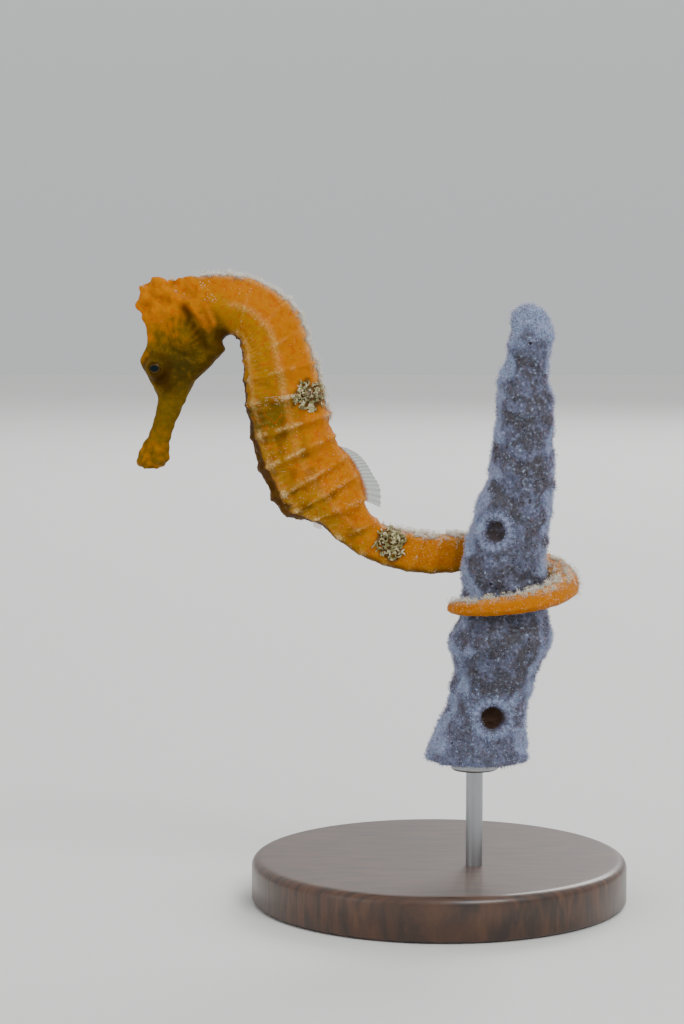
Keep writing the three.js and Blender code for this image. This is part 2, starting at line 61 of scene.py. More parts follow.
def curve(rows, at):
    """Rows of numbers read as one smooth curve: at each place, a uniform Catmull-Rom spline through
    the two rows on either side of it."""
    rows = np.asarray(rows, float)
    at = np.asarray(at, float)
    last = len(rows) - 1
    here = np.clip(np.floor(at).astype(int), 0, last - 1)
    t = (at - here)[..., None]
    p, q, r, s = (rows[np.clip(here + k, 0, last)] for k in (-1, 0, 1, 2))
    return 0.5 * (2 * q + (r - p) * t + (2 * p - 5 * q + 4 * r - s) * t**2 + (3 * q - p - 3 * r + s) * t**3)


def step(low, high, value):
    """0 below low, 1 above high, and a smooth S between them."""
    share = np.clip((value - low) / (high - low), 0, 1)
    return share * share * (3 - 2 * share)


def hill(distance, width):
    """A bell of height 1 at distance 0, down to a third at one width."""
    return np.exp(-((distance / width) ** 2))


def unit(vectors):
    """The same directions with length 1."""
    return vectors / np.maximum(np.linalg.norm(vectors, axis=-1, keepdims=True), 1e-9)


def lumps(points, size, seed, waves=36):
    """Even lumps about one size across: the sum of plane waves in random directions, of wavelengths near
    twice the size, scaled to run from about -1 to 1."""
    draw = np.random.default_rng(seed)
    ways = unit(draw.normal(size=(waves, 3))) * (2 * np.pi / (size * draw.uniform(1.5, 2.8, (waves, 1))))
    phases = draw.uniform(0, 2 * np.pi, waves)
    total = np.zeros(points.shape[:-1])
    for way, phase in zip(ways, phases):
        total += np.sin(points @ way + phase)
    return total / np.sqrt(waves)


def grid_normals(points):
    """Outward directions on a closed tube of points: the cross product of its two grid directions."""
    along = np.gradient(points, axis=0)
    around = np.roll(points, -1, axis=1) - np.roll(points, 1, axis=1)
    normals = unit(np.cross(along, around))
    outward = points - points.mean(axis=1, keepdims=True)
    return normals * np.sign(np.sum(normals * outward))


def mesh_piece(name, points, blocks, material, uv, masks=None):
    """A smooth object from points in millimetres and blocks of equal-sided faces. It is turned inside out
    if its signed volume is negative, so that its faces point outwards. uv lists one place per face corner."""
    corner_rows = [block.reshape(len(block), -1) for block in blocks]
    volume = 0.0
    for rows in corner_rows:
        for k in range(1, rows.shape[1] - 1):
            a, b, c = points[rows[:, 0]], points[rows[:, k]], points[rows[:, k + 1]]
            volume += np.sum(a * np.cross(b, c))
    if volume < 0:
        corner_rows = [rows[:, ::-1] for rows in corner_rows]
        uv = [block[:, ::-1] for block in uv]
    corners = np.concatenate([rows.ravel() for rows in corner_rows])
    sizes = np.concatenate([np.full(len(rows), rows.shape[1]) for rows in corner_rows])
    mesh = bpy.data.meshes.new(name)
    mesh.vertices.add(len(points))
    mesh.vertices.foreach_set("co", (points * MM).astype(np.float32).ravel())
    mesh.loops.add(len(corners))
    mesh.loops.foreach_set("vertex_index", corners.astype(np.int32))
    mesh.polygons.add(len(sizes))
    mesh.polygons.foreach_set("loop_start", np.concatenate([[0], np.cumsum(sizes)[:-1]]).astype(np.int32))
    mesh.polygons.foreach_set("use_smooth", np.ones(len(sizes), bool))
    mesh.update(calc_edges=True)
    flat = np.concatenate([block.reshape(-1, 2) for block in uv])
    mesh.uv_layers.new(name="OFBake").data.foreach_set("uv", flat.astype(np.float32).ravel())
    for mask, values in (masks or {}).items():
        layer = mesh.attributes.new(mask, "FLOAT", "POINT")
        layer.data.foreach_set("value", np.asarray(values, np.float32).ravel())
    mesh.materials.append(material)
    made = bpy.data.objects.new(name, mesh)
    bpy.context.scene.collection.objects.link(made)
    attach(made, "root")
    return made


def inset(place):
    """Places on an unwrap, drawn in a little so that a narrow margin is left round it."""
    return place * 0.98 + 0.01


def tube_piece(name, points, material, masks=None):
    """A closed tube on a grid of points, rows along and columns around. Each cell is one quad, and both ends
    close on a point in the middle of their row. Its unwrap is the grid itself."""
    rows, columns = points.shape[:2]
    row, column = np.meshgrid(np.arange(rows - 1), np.arange(columns), indexing="ij")
    down, over = row[..., None] + [0, 1, 1, 0], column[..., None] + [0, 0, 1, 1]
    quads = (down * columns + over % columns).reshape(-1, 4)
    quad_uv = np.stack([down / (rows - 1), over / columns], axis=-1).reshape(-1, 4, 2)
    around, end = np.arange(columns), (rows - 1) * columns
    after = (around + 1) % columns
    caps = np.concatenate([
        np.stack([np.full(columns, rows * columns), around, after], axis=-1),
        np.stack([np.full(columns, rows * columns + 1), end + after, end + around], axis=-1),
    ])
    cap_v = np.stack([around + 0.5, around, around + 1], axis=-1) / columns
    cap_uv = np.concatenate([np.stack([np.full_like(cap_v, u), cap_v], axis=-1) for u in (0, 1)])
    points = np.concatenate([points.reshape(-1, 3), points[:1].mean(1), points[-1:].mean(1)])
    if masks:
        masks = {k: np.concatenate([m.ravel(), [m[0].mean(), m[-1].mean()]]) for k, m in masks.items()}
    return mesh_piece(name, points, [quads, caps], material, [inset(quad_uv), inset(cap_uv)], masks)


def hexed(code):
    """An sRGB hex colour as linear red, green, blue and alpha."""
    parts = np.array([int(code[k : k + 2], 16) for k in (1, 3, 5)]) / 255
    linear = np.where(parts <= 0.04045, parts / 12.92, ((parts + 0.055) / 1.055) ** 2.4)
    return (*(float(part) for part in linear), 1.0)


def node(tree, kind, inputs=None, **settings):
    """Adds one shader node, or fills in one that is there. Settings are given by name, and inputs maps each
    socket to a value, a socket, or a node, whose first live output is meant. A Mix node mixes colours."""
    made = tree.nodes.new("ShaderNode" + kind) if isinstance(kind, str) else kind
    if kind == "Mix":
        made.data_type = "RGBA"
    for name, value in settings.items():
        setattr(made, name, value)
    for socket, value in (inputs or {}).items():
        if isinstance(value, bpy.types.Node):
            value = next(output for output in value.outputs if output.enabled)
        if isinstance(value, bpy.types.NodeSocket):
            tree.links.new(value, made.inputs[socket])
        else:
            made.inputs[socket].default_value = value
    return made


def new_material(name):
    """A material, its node tree, and the bare shader in it, which is already joined to the output."""
    material = bpy.data.materials.new(name)
    material.use_nodes = True
    return material, material.node_tree, material.node_tree.nodes["Principled BSDF"]


# Rope sponge: springy fibre round many pores. It scatters light a little and has no gloss,
# it is lavender where it is clean, and grey-brown where silt has settled in its pores.
LAVENDER, LAVENDER_PALE = hexed("#7F88AC"), hexed("#A9BAD6")
# The pore and vent colours are painted shade: the dark inside the small holes and inside the vents.
SILT, PORE_SHADE, VENT_SHADE = hexed("#474340"), hexed("#33262A"), hexed("#36241A")
SILT_PATCH_MM, PORE_MM, FIBRE_MM = 2.6, 0.55, 0.35


def sponge_paint(tree):
    """Lavender with patches of silt, painted shade in the pores with pale fibre between them, and painted shade on
    the vent floors.
    """
    place = node(tree, "TexCoord").outputs["Object"]
    vent, clean = (node(tree, "Attribute", attribute_name=name).outputs["Fac"] for name in ("vent", "clean"))
    patches = node(tree, "TexNoise", {"Vector": place, "Scale": 1 / (SILT_PATCH_MM * MM), "Detail": 5.0,
                                      "Roughness": 0.62})
    pores = node(tree, "TexNoise", {"Vector": place, "Scale": 1 / (PORE_MM * MM), "Detail": 3.0})
    silt = node(tree, "MapRange", {0: patches, 1: 0.36, 2: 0.58, 3: 0.45, 4: 0.88}, interpolation_type="SMOOTHSTEP")
    kept = node(tree, "MapRange", {0: clean, 3: 1.0, 4: 0.15})
    colour = LAVENDER
    for cover, tint in (
        (node(tree, "Math", {0: silt, 1: kept}, operation="MULTIPLY"), SILT),
        (node(tree, "MapRange", {0: clean, 1: 0.5, 4: 0.5}), LAVENDER_PALE),
        (node(tree, "MapRange", {0: pores, 1: 0.56, 2: 0.72, 4: 0.75}), PORE_SHADE),
        (node(tree, "MapRange", {0: pores, 1: 0.42, 2: 0.25, 4: 0.8}), LAVENDER_PALE),
        (vent, VENT_SHADE),
    ):
        colour = node(tree, "Mix", {0: cover, 6: colour, 7: tint})
    return colour


sponge_skin, tree, shader = new_material("rope_sponge_fibre")
fibre = node(tree, "TexNoise", {"Vector": node(tree, "TexCoord").outputs["Object"], "Scale": 1 / (FIBRE_MM * MM),
                                "Detail": 4.0})
relief = node(tree, "Bump", {"Height": fibre, "Strength": 0.9, "Distance": 0.25 * MM})
node(tree, shader, {"Base Color": sponge_paint(tree), "Roughness": 0.9, "Specular IOR Level": 0.2,
                    "Subsurface Weight": 0.15, "Subsurface Scale": 0.5 * MM, "Normal": relief})

PERCH_GRID_ROWS, PERCH_COLUMNS = 600, 156
FOOT_GRID_ROWS = 12

perch_heights = np.array([row[0] for row in PERCH_ROWS], float)
perch_sections = [row[1:] for row in PERCH_ROWS]


def perch_line(height):
    """The finger's centre x and radius at a height: a spline over its rows."""
    return curve(perch_sections, np.interp(height, perch_heights, np.arange(len(PERCH_ROWS))))


# The grid's rows climb the finger evenly over its rows, so they close up round the tip.
climb = np.linspace(0, len(PERCH_ROWS) - 1, PERCH_GRID_ROWS)
sponge_height = np.interp(climb, np.arange(len(PERCH_ROWS)), perch_heights)
sponge_line = curve(perch_sections, climb)
turn = np.linspace(0, 2 * np.pi, PERCH_COLUMNS, endpoint=False)
sponge_out = np.stack([np.cos(turn), np.sin(turn), np.zeros_like(turn)], axis=-1)
sponge_axis = np.stack([sponge_line[:, 0], np.full(PERCH_GRID_ROWS, PERCH_Y), sponge_height], axis=-1)
sponge = sponge_axis[:, None] + sponge_line[:, 1][:, None, None] * sponge_out
# Swellings, pits and pores, by height and size in millimetres and seed. They die out at the very tip.
ROUGHNESS = ((0.26, 2.6, 1), (0.19, 0.9, 2), (0.09, 0.4, 3))
rough = sum(height * lumps(sponge, size, seed) for height, size, seed in ROUGHNESS)
sponge = sponge + sponge_out * (rough * step(0, 1.5, sponge_line[:, 1])[:, None])[..., None]
sponge_vent_shade, sponge_bare = np.zeros((2, *sponge.shape[:2]))
# Silt stays off the finger's tip and the rims of its vents, which are clean and pale. The finger is also paler along
# its two sides, left and right as the camera sees it, and a little towards its foot.
PALE_SIDES, CLEAN_TIP, CLEAN_FOOT = (0.66, 1.02), (98.0, 104.0), (38.0, 31.0)
VENT_RIBS, LIP_HEIGHT, PIT_DEPTH = 19, 0.30, 0.6
sponge_clean = np.clip(
    step(*PALE_SIDES, np.abs(np.cos(turn)) + 0.2 * lumps(sponge, 2.2, 5))
    + step(*CLEAN_TIP, sponge[..., 2] + 1.5 * lumps(sponge, 2.0, 7)) + 0.25 * step(*CLEAN_FOOT, sponge[..., 2]),
    0, 1,
)
for height, angle, radius, shade in PERCH_VENTS:
    # A vent is a round pit: inside its radius the surface goes straight in, and a low lip stands round it,
    # with fine ribs of clean fibre like spokes.
    centre_x, wall = perch_line(np.array(height))
    way = np.array([np.cos(np.radians(angle)), np.sin(np.radians(angle)), 0])
    offset = sponge - (np.array([centre_x, PERCH_Y, height]) + way * wall)
    depth_along = offset @ way
    aside = np.linalg.norm(offset - depth_along[..., None] * way, axis=-1) / radius
    near = depth_along > -wall
    pit = (1 - step(0.68, 0.98, aside)) * near
    lip = hill(aside - 1.25, 0.25) * near
    sponge = sponge + way * (LIP_HEIGHT * min(radius, 1) * lip - PIT_DEPTH * radius * pit)[..., None]
    # The vent's floor is painted dark, as painted shade inside the pit.
    sponge_vent_shade = np.maximum(sponge_vent_shade, shade * (1 - step(0.70, 0.95, aside)) * near)
    sponge_bare = np.maximum(sponge_bare, (1 - step(0.95, 1.1, aside)) * near)
    across = np.cross(way, np.array([0, 0, 1.0]))
    spoke = 0.55 + 0.45 * np.cos(VENT_RIBS * np.arctan2(offset[..., 2], offset @ across))
    sponge_clean = np.maximum(sponge_clean, hill(aside - 1.35, 0.35) * (0.5 + 0.5 * spoke) * near * min(radius, 1))
# The level cut at the foot: rings that shrink to its middle.
foot = np.linspace(0.02, 1, FOOT_GRID_ROWS)[:-1, None, None]
foot_middle = sponge[0].mean(0)
sponge = np.concatenate([foot_middle + (sponge[0] - foot_middle) * foot, sponge])
sponge_vent_shade, sponge_bare, sponge_clean = (
    np.concatenate([np.zeros((FOOT_GRID_ROWS - 1, PERCH_COLUMNS)), field])
    for field in (sponge_vent_shade, sponge_bare, sponge_clean)
)
perch = tube_piece("sponge_finger", sponge, sponge_skin, {"vent": sponge_vent_shade, "clean": sponge_clean})
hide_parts("perch_sponge")

# ---- The sponge's nap ----
# Ends of the sponge's own fibres and fine algae stand off its whole surface as a short nap, palest at the tips.
# It is made as thin three-sided spikes with a root, a bend and a tip.

PATCH = 0.003  # how wide each tuft's or grain's own patch of the unwrap is, as a share of the unwrap
ROOT_DEPTH = 0.08  # how deep a spike's root sits in the surface, in millimetres
BEND_AT, BEND_SWAY, BEND_HALF = 0.55, 0.35, 0.38  # a spike's bend: how far up, how far aside, and how thick


def spikes(name, roots, ways, lengths, widths, sways, root_uv, material, masks):
    """Thin spikes, each from a root along its way: three corners at the root, three smaller ones past its
    middle and one at its tip, which sways aside. Each is one patch of the unwrap, round its root's own place."""
    count = len(roots)
    aside = unit(np.cross(ways, np.array([0.31, 0.52, 0.79])))
    across = np.cross(ways, aside)
    corner = np.radians([0, 120, 240])
    ring = np.cos(corner)[:, None] * aside[:, None] + np.sin(corner)[:, None] * across[:, None]
    lengths, widths = lengths[:, None, None], widths[:, None, None]
    low = roots[:, None] - ROOT_DEPTH * ways[:, None] + ring * widths / 2
    middle = roots[:, None] + (ways[:, None] + BEND_SWAY * sways[:, None]) * lengths * BEND_AT
    middle = middle + ring * widths * BEND_HALF
    tip = roots[:, None] + (ways[:, None] + sways[:, None]) * lengths
    points = np.concatenate([low, middle, tip], axis=1).reshape(-1, 3)
    first = (np.arange(count) * 7)[:, None]
    sides = np.concatenate([first + np.array([[k, (k + 1) % 3, 3 + (k + 1) % 3, 3 + k]]) for k in range(3)])
    ends = np.concatenate(
        [first + np.array([[3 + k, 3 + (k + 1) % 3, 6]]) for k in range(3)] + [first + np.array([[2, 1, 0]])]
    )
    patch = np.array([[-1, -1], [0, -1], [1, -1], [-1, 0.2], [0, 0.2], [1, 0.2], [0, 1]]) * PATCH / 2
    place = (root_uv[:, None] + patch).reshape(-1, 2)
    spread = {k: np.repeat(v, 7) for k, v in masks.items()}
    spread["tip"] = np.tile([0, 0, 0, 0.6, 0.6, 0.6, 1], count)
    return mesh_piece(name, points, [sides, ends], material, [place[sides], place[ends]], spread)


def scatter(draw, surface, weight, count):
    """Random roots on a grid surface, thick where its weight is large: whole cells by chance in proportion
    to weight and area, then a random place in the cell. Returns their rows and columns, as fractions."""
    rows, columns = surface.shape[:2]
    tall = np.linalg.norm(np.diff(surface, axis=0), axis=-1)
    wide = np.linalg.norm(np.roll(surface, -1, axis=1) - surface, axis=-1)[:-1]
    chance = (weight[:-1] * tall * wide).ravel()
    cell = draw.choice(len(chance), count, p=chance / chance.sum())
    row, column = np.divmod(cell, columns)
    down, over = draw.uniform(size=(2, count))
    return row + down, column + over


def sample(field, row, column):
    """A grid field at fractional rows and columns, by bilinear weights, with its columns closed into a ring."""
    low_row, low_column = np.floor(row).astype(int), np.floor(column).astype(int)
    down, over = row - low_row, column - low_column
    if field.ndim == 3:
        down, over = down[:, None], over[:, None]
    rows, columns = field.shape[:2]
    next_row, low_column = np.minimum(low_row + 1, rows - 1), low_column % columns
    next_column = (low_column + 1) % columns
    top = field[low_row, low_column] * (1 - over) + field[low_row, next_column] * over
    bottom = field[next_row, low_column] * (1 - over) + field[next_row, next_column] * over
    return top * (1 - down) + bottom * down


def grid_place(surface, row, column):
    """Where a fractional row and column lie on the surface's own unwrap."""
    return inset(np.stack([row / (surface.shape[0] - 1), (column % surface.shape[1]) / surface.shape[1]], axis=-1))


# Sponge fibre ends: as the sponge itself, but clean and pale at the tips, and thin enough to glow a little.
sponge_nap, tree, shader = new_material("rope_sponge_nap")
tip, clean = (node(tree, "Attribute", attribute_name=name).outputs["Fac"] for name in ("tip", "clean"))
reach = node(tree, "MapRange", {0: clean, 3: 0.28, 4: 0.85})
pale = node(tree, "Math", {0: tip, 1: reach}, operation="MULTIPLY")
paint = node(tree, "Mix", {0: pale, 6: sponge_paint(tree), 7: hexed("#BCCAE8")})
node(tree, shader, {"Base Color": paint, "Roughness": 0.85, "Specular IOR Level": 0.2, "Subsurface Weight": 0.3,
                    "Subsurface Scale": 0.4 * MM})

NAP_PIECES, NAP_SPIKES = 3, 18500
NAP_LENGTH, NAP_WIDTH = (0.2, 0.75), 0.085
NAP_SPREAD, NAP_SWAY = 0.32, 0.25  # how far the fibres point and bend aside, as shares of their length

draw = np.random.default_rng(20)
sponge_normal = grid_normals(sponge)
nap_weight = (1 - sponge_bare) * (0.5 + 0.3 * np.clip(lumps(sponge, 1.6, 6), -1, 1) + 0.35 * sponge_clean)
nap_weight[: FOOT_GRID_ROWS - 2] = 0
for piece in range(NAP_PIECES):
    row, column = scatter(draw, sponge, nap_weight, NAP_SPIKES)
    ways = unit(sample(sponge_normal, row, column) + draw.normal(0, NAP_SPREAD, (NAP_SPIKES, 3)))
    sways = draw.normal(0, NAP_SWAY, (NAP_SPIKES, 3))
    lengths = draw.uniform(*NAP_LENGTH, NAP_SPIKES) * draw.uniform(0.6, 1.15, NAP_SPIKES)
    nap = spikes(
        f"sponge_nap_{piece + 1}", sample(sponge, row, column), ways, lengths,
        NAP_WIDTH * draw.uniform(0.6, 1.3, NAP_SPIKES), sways, grid_place(sponge, row, column), sponge_nap,
        {"vent": 0 * lengths, "clean": sample(sponge_clean, row, column)},
    )
    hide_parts("perch_sponge")

# A grain is an eight-sided crumb: six corners, one each way, and a face between each three.
GRAIN_CORNERS = np.array([[1, 0, 0], [-1, 0, 0], [0, 1, 0], [0, -1, 0], [0, 0, 1], [0, 0, -1]], float)
GRAIN_FACES = np.array([[0, 2, 4], [2, 1, 4], [1, 3, 4], [3, 0, 4], [2, 0, 5], [1, 2, 5], [3, 1, 5], [0, 3, 5]])


def grain_material(name, dull, pale):
    """Small opaque grains whose colour runs from dull to pale by their own tone."""
    material, tree, shader = new_material(name)
    tone = node(tree, "Attribute", attribute_name="tone").outputs["Fac"]
    node(tree, shader, {"Base Color": node(tree, "Mix", {0: tone, 6: dull, 7: pale}), "Roughness": 0.6})
    return material


def grain_piece(name, draw, surface, outward, weight, count, sizes, heights, material):
    """Eight-sided grains over a grid surface: each stands at a random height on its root's outward direction,
    with its six corners pushed in or out by chance."""
    row, column = scatter(draw, surface, weight, count)
    size = draw.uniform(*sizes, count)
    height = draw.uniform(*heights, count)
    centre = sample(surface, row, column) + sample(outward, row, column) * height[:, None]
    stretch = size[:, None, None] * draw.uniform(0.6, 1.3, (count, 6, 1))
    points = (centre[:, None] + GRAIN_CORNERS * stretch).reshape(-1, 3)
    faces = ((np.arange(count) * 6)[:, None, None] + GRAIN_FACES).reshape(-1, 3)
    place = (grid_place(surface, row, column)[:, None] + GRAIN_CORNERS[:, [0, 2]] * PATCH / 2).reshape(-1, 2)
    tone = np.repeat(draw.uniform(0, 1, count) ** 0.6, 6)
    return mesh_piece(name, points, [faces], material, [place[faces]], {"tone": tone})


sponge_bits = grain_material("sponge_fibre_knots", hexed("#7C86A8"), hexed("#BECAE4"))
knots = grain_piece("sponge_fibre_knots", draw, sponge, sponge_normal, nap_weight * (0.07 + sponge_clean), 10000,
                    (0.05, 0.12), (0.1, 0.6), sponge_bits)
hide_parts("perch_sponge")

# ---- The seahorse's skin ----
# One unbroken skin is drawn tight over the animal's bony plates: rings round the trunk and tail, ridges along
# them, and a knob where a ring crosses a ridge. The real animal's skin is orange, ochre and olive.

# back x, back z, belly x, belly z, half width, narrowing to the back, seven-sided, four-sided, y
BODY_ROWS = [
    (-52.8, 79.6, -51.3, 79.5, 0.5, 0, 0, 0, 0), (-53.6, 78.5, -50.7, 78.4, 1.1, 0, 0, 0, 0),
    (-54.4, 80.2, -49.0, 79.8, 2.2, 0, 0, 0, 0), (-52.8, 83.3, -48.6, 82.2, 1.8, 0, 0, 0, 0),
    (-51.6, 86.4, -48.0, 85.3, 1.6, 0, 0, 0, 0), (-50.6, 91.1, -46.0, 89.8, 1.9, 0, 0, 0, 0),
    (-51.4, 92.8, -44.7, 92.7, 2.6, 0.15, 0, 0, 0), (-52.1, 95.1, -43.4, 94.7, 3.1, 0.2, 0, 0, 0),
    (-53.7, 97.7, -41.9, 96.0, 3.5, 0.35, 0, 0, 0), (-52.4, 101.2, -40.1, 98.0, 3.9, 0.45, 0, 0, 0),
    (-53.1, 105.1, -38.6, 99.5, 4.2, 0.6, 0, 0, 0), (-54.2, 107.5, -38.8, 100.6, 4.3, 0.65, 0, 0, 0),
    (-53.2, 111.0, -38.9, 101.3, 4.3, 0.62, 0.1, 0, 0), (-51.2, 112.6, -38.6, 101.8, 4.2, 0.6, 0.2, 0, 0),
    (-48.8, 111.9, -38.3, 102.1, 4.1, 0.5, 0.3, 0, 0), (-46.6, 112.7, -37.9, 102.2, 4.0, 0.4, 0.5, 0, 0),
    (-43.2, 112.9, -37.5, 102.3, 3.9, 0.3, 0.7, 0, 0), (-38.7, 113.1, -37.1, 102.2, 3.8, 0.25, 1, 0, 0),
    (-34.3, 112.5, -36.5, 101.8, 3.8, 0.2, 1, 0, 0), (-30.2, 110.7, -36.0, 101.2, 3.9, 0.2, 1, 0, 0),
    (-27.1, 108.3, -35.7, 100.2, 4.1, 0.2, 1, 0, 0), (-25.1, 106.0, -35.6, 98.9, 4.2, 0.2, 1, 0, 0),
    (-24.2, 102.9, -35.4, 97.3, 4.3, 0.2, 1, 0, 0), (-23.0, 99.4, -35.3, 95.3, 4.5, 0.2, 1, 0, 0),
    (-21.9, 95.8, -35.2, 93.0, 4.7, 0.2, 1, 0, 0), (-20.9, 92.2, -34.9, 89.4, 4.9, 0.2, 1, 0, 0),
    (-20.2, 88.8, -34.0, 84.9, 5.1, 0.2, 1, 0, 0), (-19.4, 85.5, -32.8, 79.8, 5.2, 0.2, 1, 0, 0),
    (-17.9, 82.3, -31.1, 75.5, 5.2, 0.22, 1, 0, 0), (-15.7, 79.4, -28.9, 71.3, 5.0, 0.27, 0.95, 0.05, 0),
    (-14.0, 75.9, -26.0, 69.4, 4.5, 0.28, 0.8, 0.2, 0), (-13.5, 72.2, -22.4, 68.9, 4.0, 0.2, 0.5, 0.5, 0),
    (-10.8, 68.8, -18.2, 65.4, 3.6, 0.1, 0, 0.7, 0), (-7.7, 67.7, -13.7, 62.4, 3.4, 0.1, 0, 0.6, 0),
    (-4.0, 66.8, -8.3, 60.4, 3.2, 0.05, 0, 0.55, 0), (0.0, 66.5, -2.2, 59.4, 3.1, 0.05, 0, 0.5, 0.3),
    (4.1, 66.4, 3.7, 59.6, 3.0, 0, 0, 0.45, 1.5),
]
NECK_AT, TRUNK_END_AT = 15.5, 31.5  # where the head and the trunk end, in rows counted from 0
# The tail's coil, in millimetres and degrees: where it starts and how far it turns, its half depth at both ends,
# its last height, its drop and how soon it drops, its room off the sponge, its bulge, where round the finger
# that lies and how wide it is, how far its back leans up along it and at its start, its width by its depth,
# and how square it is.
COIL_STATIONS = 10
COIL_START, COIL_TURN = 90, 345
COIL_THICK, COIL_TIP = 3.15, 0.4
COIL_LOW, COIL_DROP, COIL_HASTE = 53.9, 8.6, 2.1
COIL_CLEAR, COIL_BULGE, COIL_BULGE_AT, COIL_BULGE_SPAN = 0.55, 1.0, 5, 45
COIL_LEAN, COIL_LEAN_START = 20, 40
COIL_FLATNESS, COIL_SQUARENESS = 0.95, 0.35

share = np.linspace(0, 1, COIL_STATIONS)
# The coil runs once round the finger: each station is out from its middle by the finger's own radius,
# the tail's half depth and a little room, and it sinks as it goes.
coil_turn = np.radians(COIL_START - COIL_TURN * share)
coil_half = COIL_THICK + (COIL_TIP - COIL_THICK) * share
coil_height = COIL_LOW + COIL_DROP * (1 - share) ** COIL_HASTE
coil_wall = np.max([perch_line(coil_height + lift * coil_half)[:, 1] for lift in (-1, 0, 1)], axis=0)
coil_bulge = COIL_BULGE * hill(np.degrees(coil_turn) - COIL_BULGE_AT, COIL_BULGE_SPAN)
coil_out = np.stack([np.cos(coil_turn), np.sin(coil_turn), 0 * share], axis=-1)
coil_along = np.stack([np.sin(coil_turn), -np.cos(coil_turn), 0 * share], axis=-1)
coil_lift = np.radians(COIL_LEAN + COIL_LEAN_START * (1 - step(0, 0.12, share)))
coil_back = coil_out * np.cos(coil_lift)[:, None] + np.array([0, 0, 1]) * np.sin(coil_lift)[:, None]
coil_left = np.cross(coil_along, coil_back)
coil_centre = coil_out * (coil_wall + coil_half + COIL_CLEAR + coil_bulge)[:, None]
coil_centre += np.stack([perch_line(coil_height)[:, 0], np.full(COIL_STATIONS, PERCH_Y), coil_height], axis=-1)
coil_rows = np.concatenate([
    coil_centre, coil_back * coil_half[:, None], coil_left * coil_half[:, None] * COIL_FLATNESS,
    np.tile([0.0, 0.0, COIL_SQUARENESS], (COIL_STATIONS, 1)),
], axis=1)
# A station is its middle, the way to its back, the way to its left side, and its three shape numbers.
back_x, back_z, belly_x, belly_z, half_width, narrow, sevens, fours, middle_y = np.array(BODY_ROWS, float).T
nothing = 0 * back_x
body_rows = np.stack([
    (back_x + belly_x) / 2, middle_y, (back_z + belly_z) / 2, (back_x - belly_x) / 2, nothing, (back_z - belly_z) / 2,
    nothing, -half_width, nothing, narrow, sevens, fours,
], axis=-1)
STATIONS = np.concatenate([body_rows, coil_rows])
TIP_AT = len(STATIONS) - 1

# Rows of the grid, as fractional stations, closest together on the head.
SKIN_SPANS = [(0, NECK_AT, 262), (NECK_AT, TRUNK_END_AT, 238), (TRUNK_END_AT, TIP_AT, 200)]
SKIN_COLUMNS = 140
skin_at = np.concatenate([np.linspace(low, high, count, endpoint=False) for low, high, count in SKIN_SPANS])
skin_at[-1] = TIP_AT
skin_turn = np.linspace(0, 360, SKIN_COLUMNS, endpoint=False)

# The bony rings are a count that grows along the body and is whole on each ring. First come the shares of the
# trunk's length where its rings lie.
TRUNK_RING_SHARES = [0.038, 0.128, 0.215, 0.300, 0.393, 0.486, 0.590, 0.688, 0.790, 0.865, 0.935]
TRUNK_RINGS = len(TRUNK_RING_SHARES)
TAIL_RINGS = 35
TAIL_CROWDING = 1.5  # the share by which the rings come faster at the tail's tip than at its start
RING_START = 0.42  # how far the body's joint with the head lies before the first ring, in rings
MEASURING_STEPS = 4000
fine_at = np.linspace(0, TIP_AT, MEASURING_STEPS)
fine_length = np.concatenate(
    [[0], np.cumsum(np.linalg.norm(np.diff(curve(STATIONS, fine_at)[:, :3], axis=0), axis=1))]
)
skin_length = np.interp(skin_at, fine_at, fine_length)
neck_length, tail_length = np.interp([NECK_AT, TRUNK_END_AT], fine_at, fine_length)
trunk_share = (skin_length - neck_length) / (tail_length - neck_length)
tail_share = np.clip((skin_length - tail_length) / (fine_length[-1] - tail_length), 0, 1)
tail_rings = (tail_share + TAIL_CROWDING * tail_share**2 / 2) / (1 + TAIL_CROWDING / 2) * TAIL_RINGS
ring_counts = [-RING_START, *range(TRUNK_RINGS), TRUNK_RINGS - RING_START]
trunk_rings = np.interp(trunk_share, [0, *TRUNK_RING_SHARES, 1], ring_counts)
skin_ring = np.where(trunk_share < 1, trunk_rings, TRUNK_RINGS - RING_START + tail_rings)
# The same three as columns, to work on whole grids.
at, ring_at, tail_at = skin_at[:, None], skin_ring[:, None], tail_share[:, None]


def turn_from(direction):
    """How many degrees each column of the grid is turned from a direction, either way round."""
    return np.abs((skin_turn - direction + 180) % 360 - 180)


def plated(angle, faces, sharpness):
    """The outline of a many-sided plate in units of its half size: the smooth hull of flat faces whose
    directions are given in degrees."""
    total = sum(np.clip(np.cos(np.radians(angle - face)), 0, None) ** sharpness for face in faces)
    return total ** (-1 / sharpness)


# The plain skin: each row is a section, round on the head, seven-sided on the trunk and square on the tail.
row_values = curve(STATIONS, skin_at)
centre, to_back, to_left = row_values[:, None, 0:3], row_values[:, None, 3:6], row_values[:, None, 6:9]
narrowing, seven, four = (np.clip(row_values[:, k : k + 1], 0, 1) for k in (9, 10, 11))
spread = 8 * step(4.0, 8.0, ring_at)  # degrees by which the belly's two ridges part lower down
trunk_faces = [0, 58, 118 - spread, 165 - spread, 195 + spread, 242 + spread, 302]
trunk_ridges = [30, 88, 141 - spread, 180, 219 + spread, 272, 330]
reach = np.clip(1 - seven - four, 0, 1) + seven * plated(skin_turn, trunk_faces, 10)
reach = reach + four * plated(skin_turn, [0, 90, 180, 270], 8) * 0.97
up = reach * np.cos(np.radians(skin_turn))
side = reach * np.sin(np.radians(skin_turn))
side = side * (1 - narrowing * np.clip((1 + up) / 2, 0, None) ** 1.4)
skin = centre + to_back * up[..., None] + to_left * side[..., None]
row_size = np.clip(np.linalg.norm(to_back, axis=-1) / 6, 0.1, 1.1)

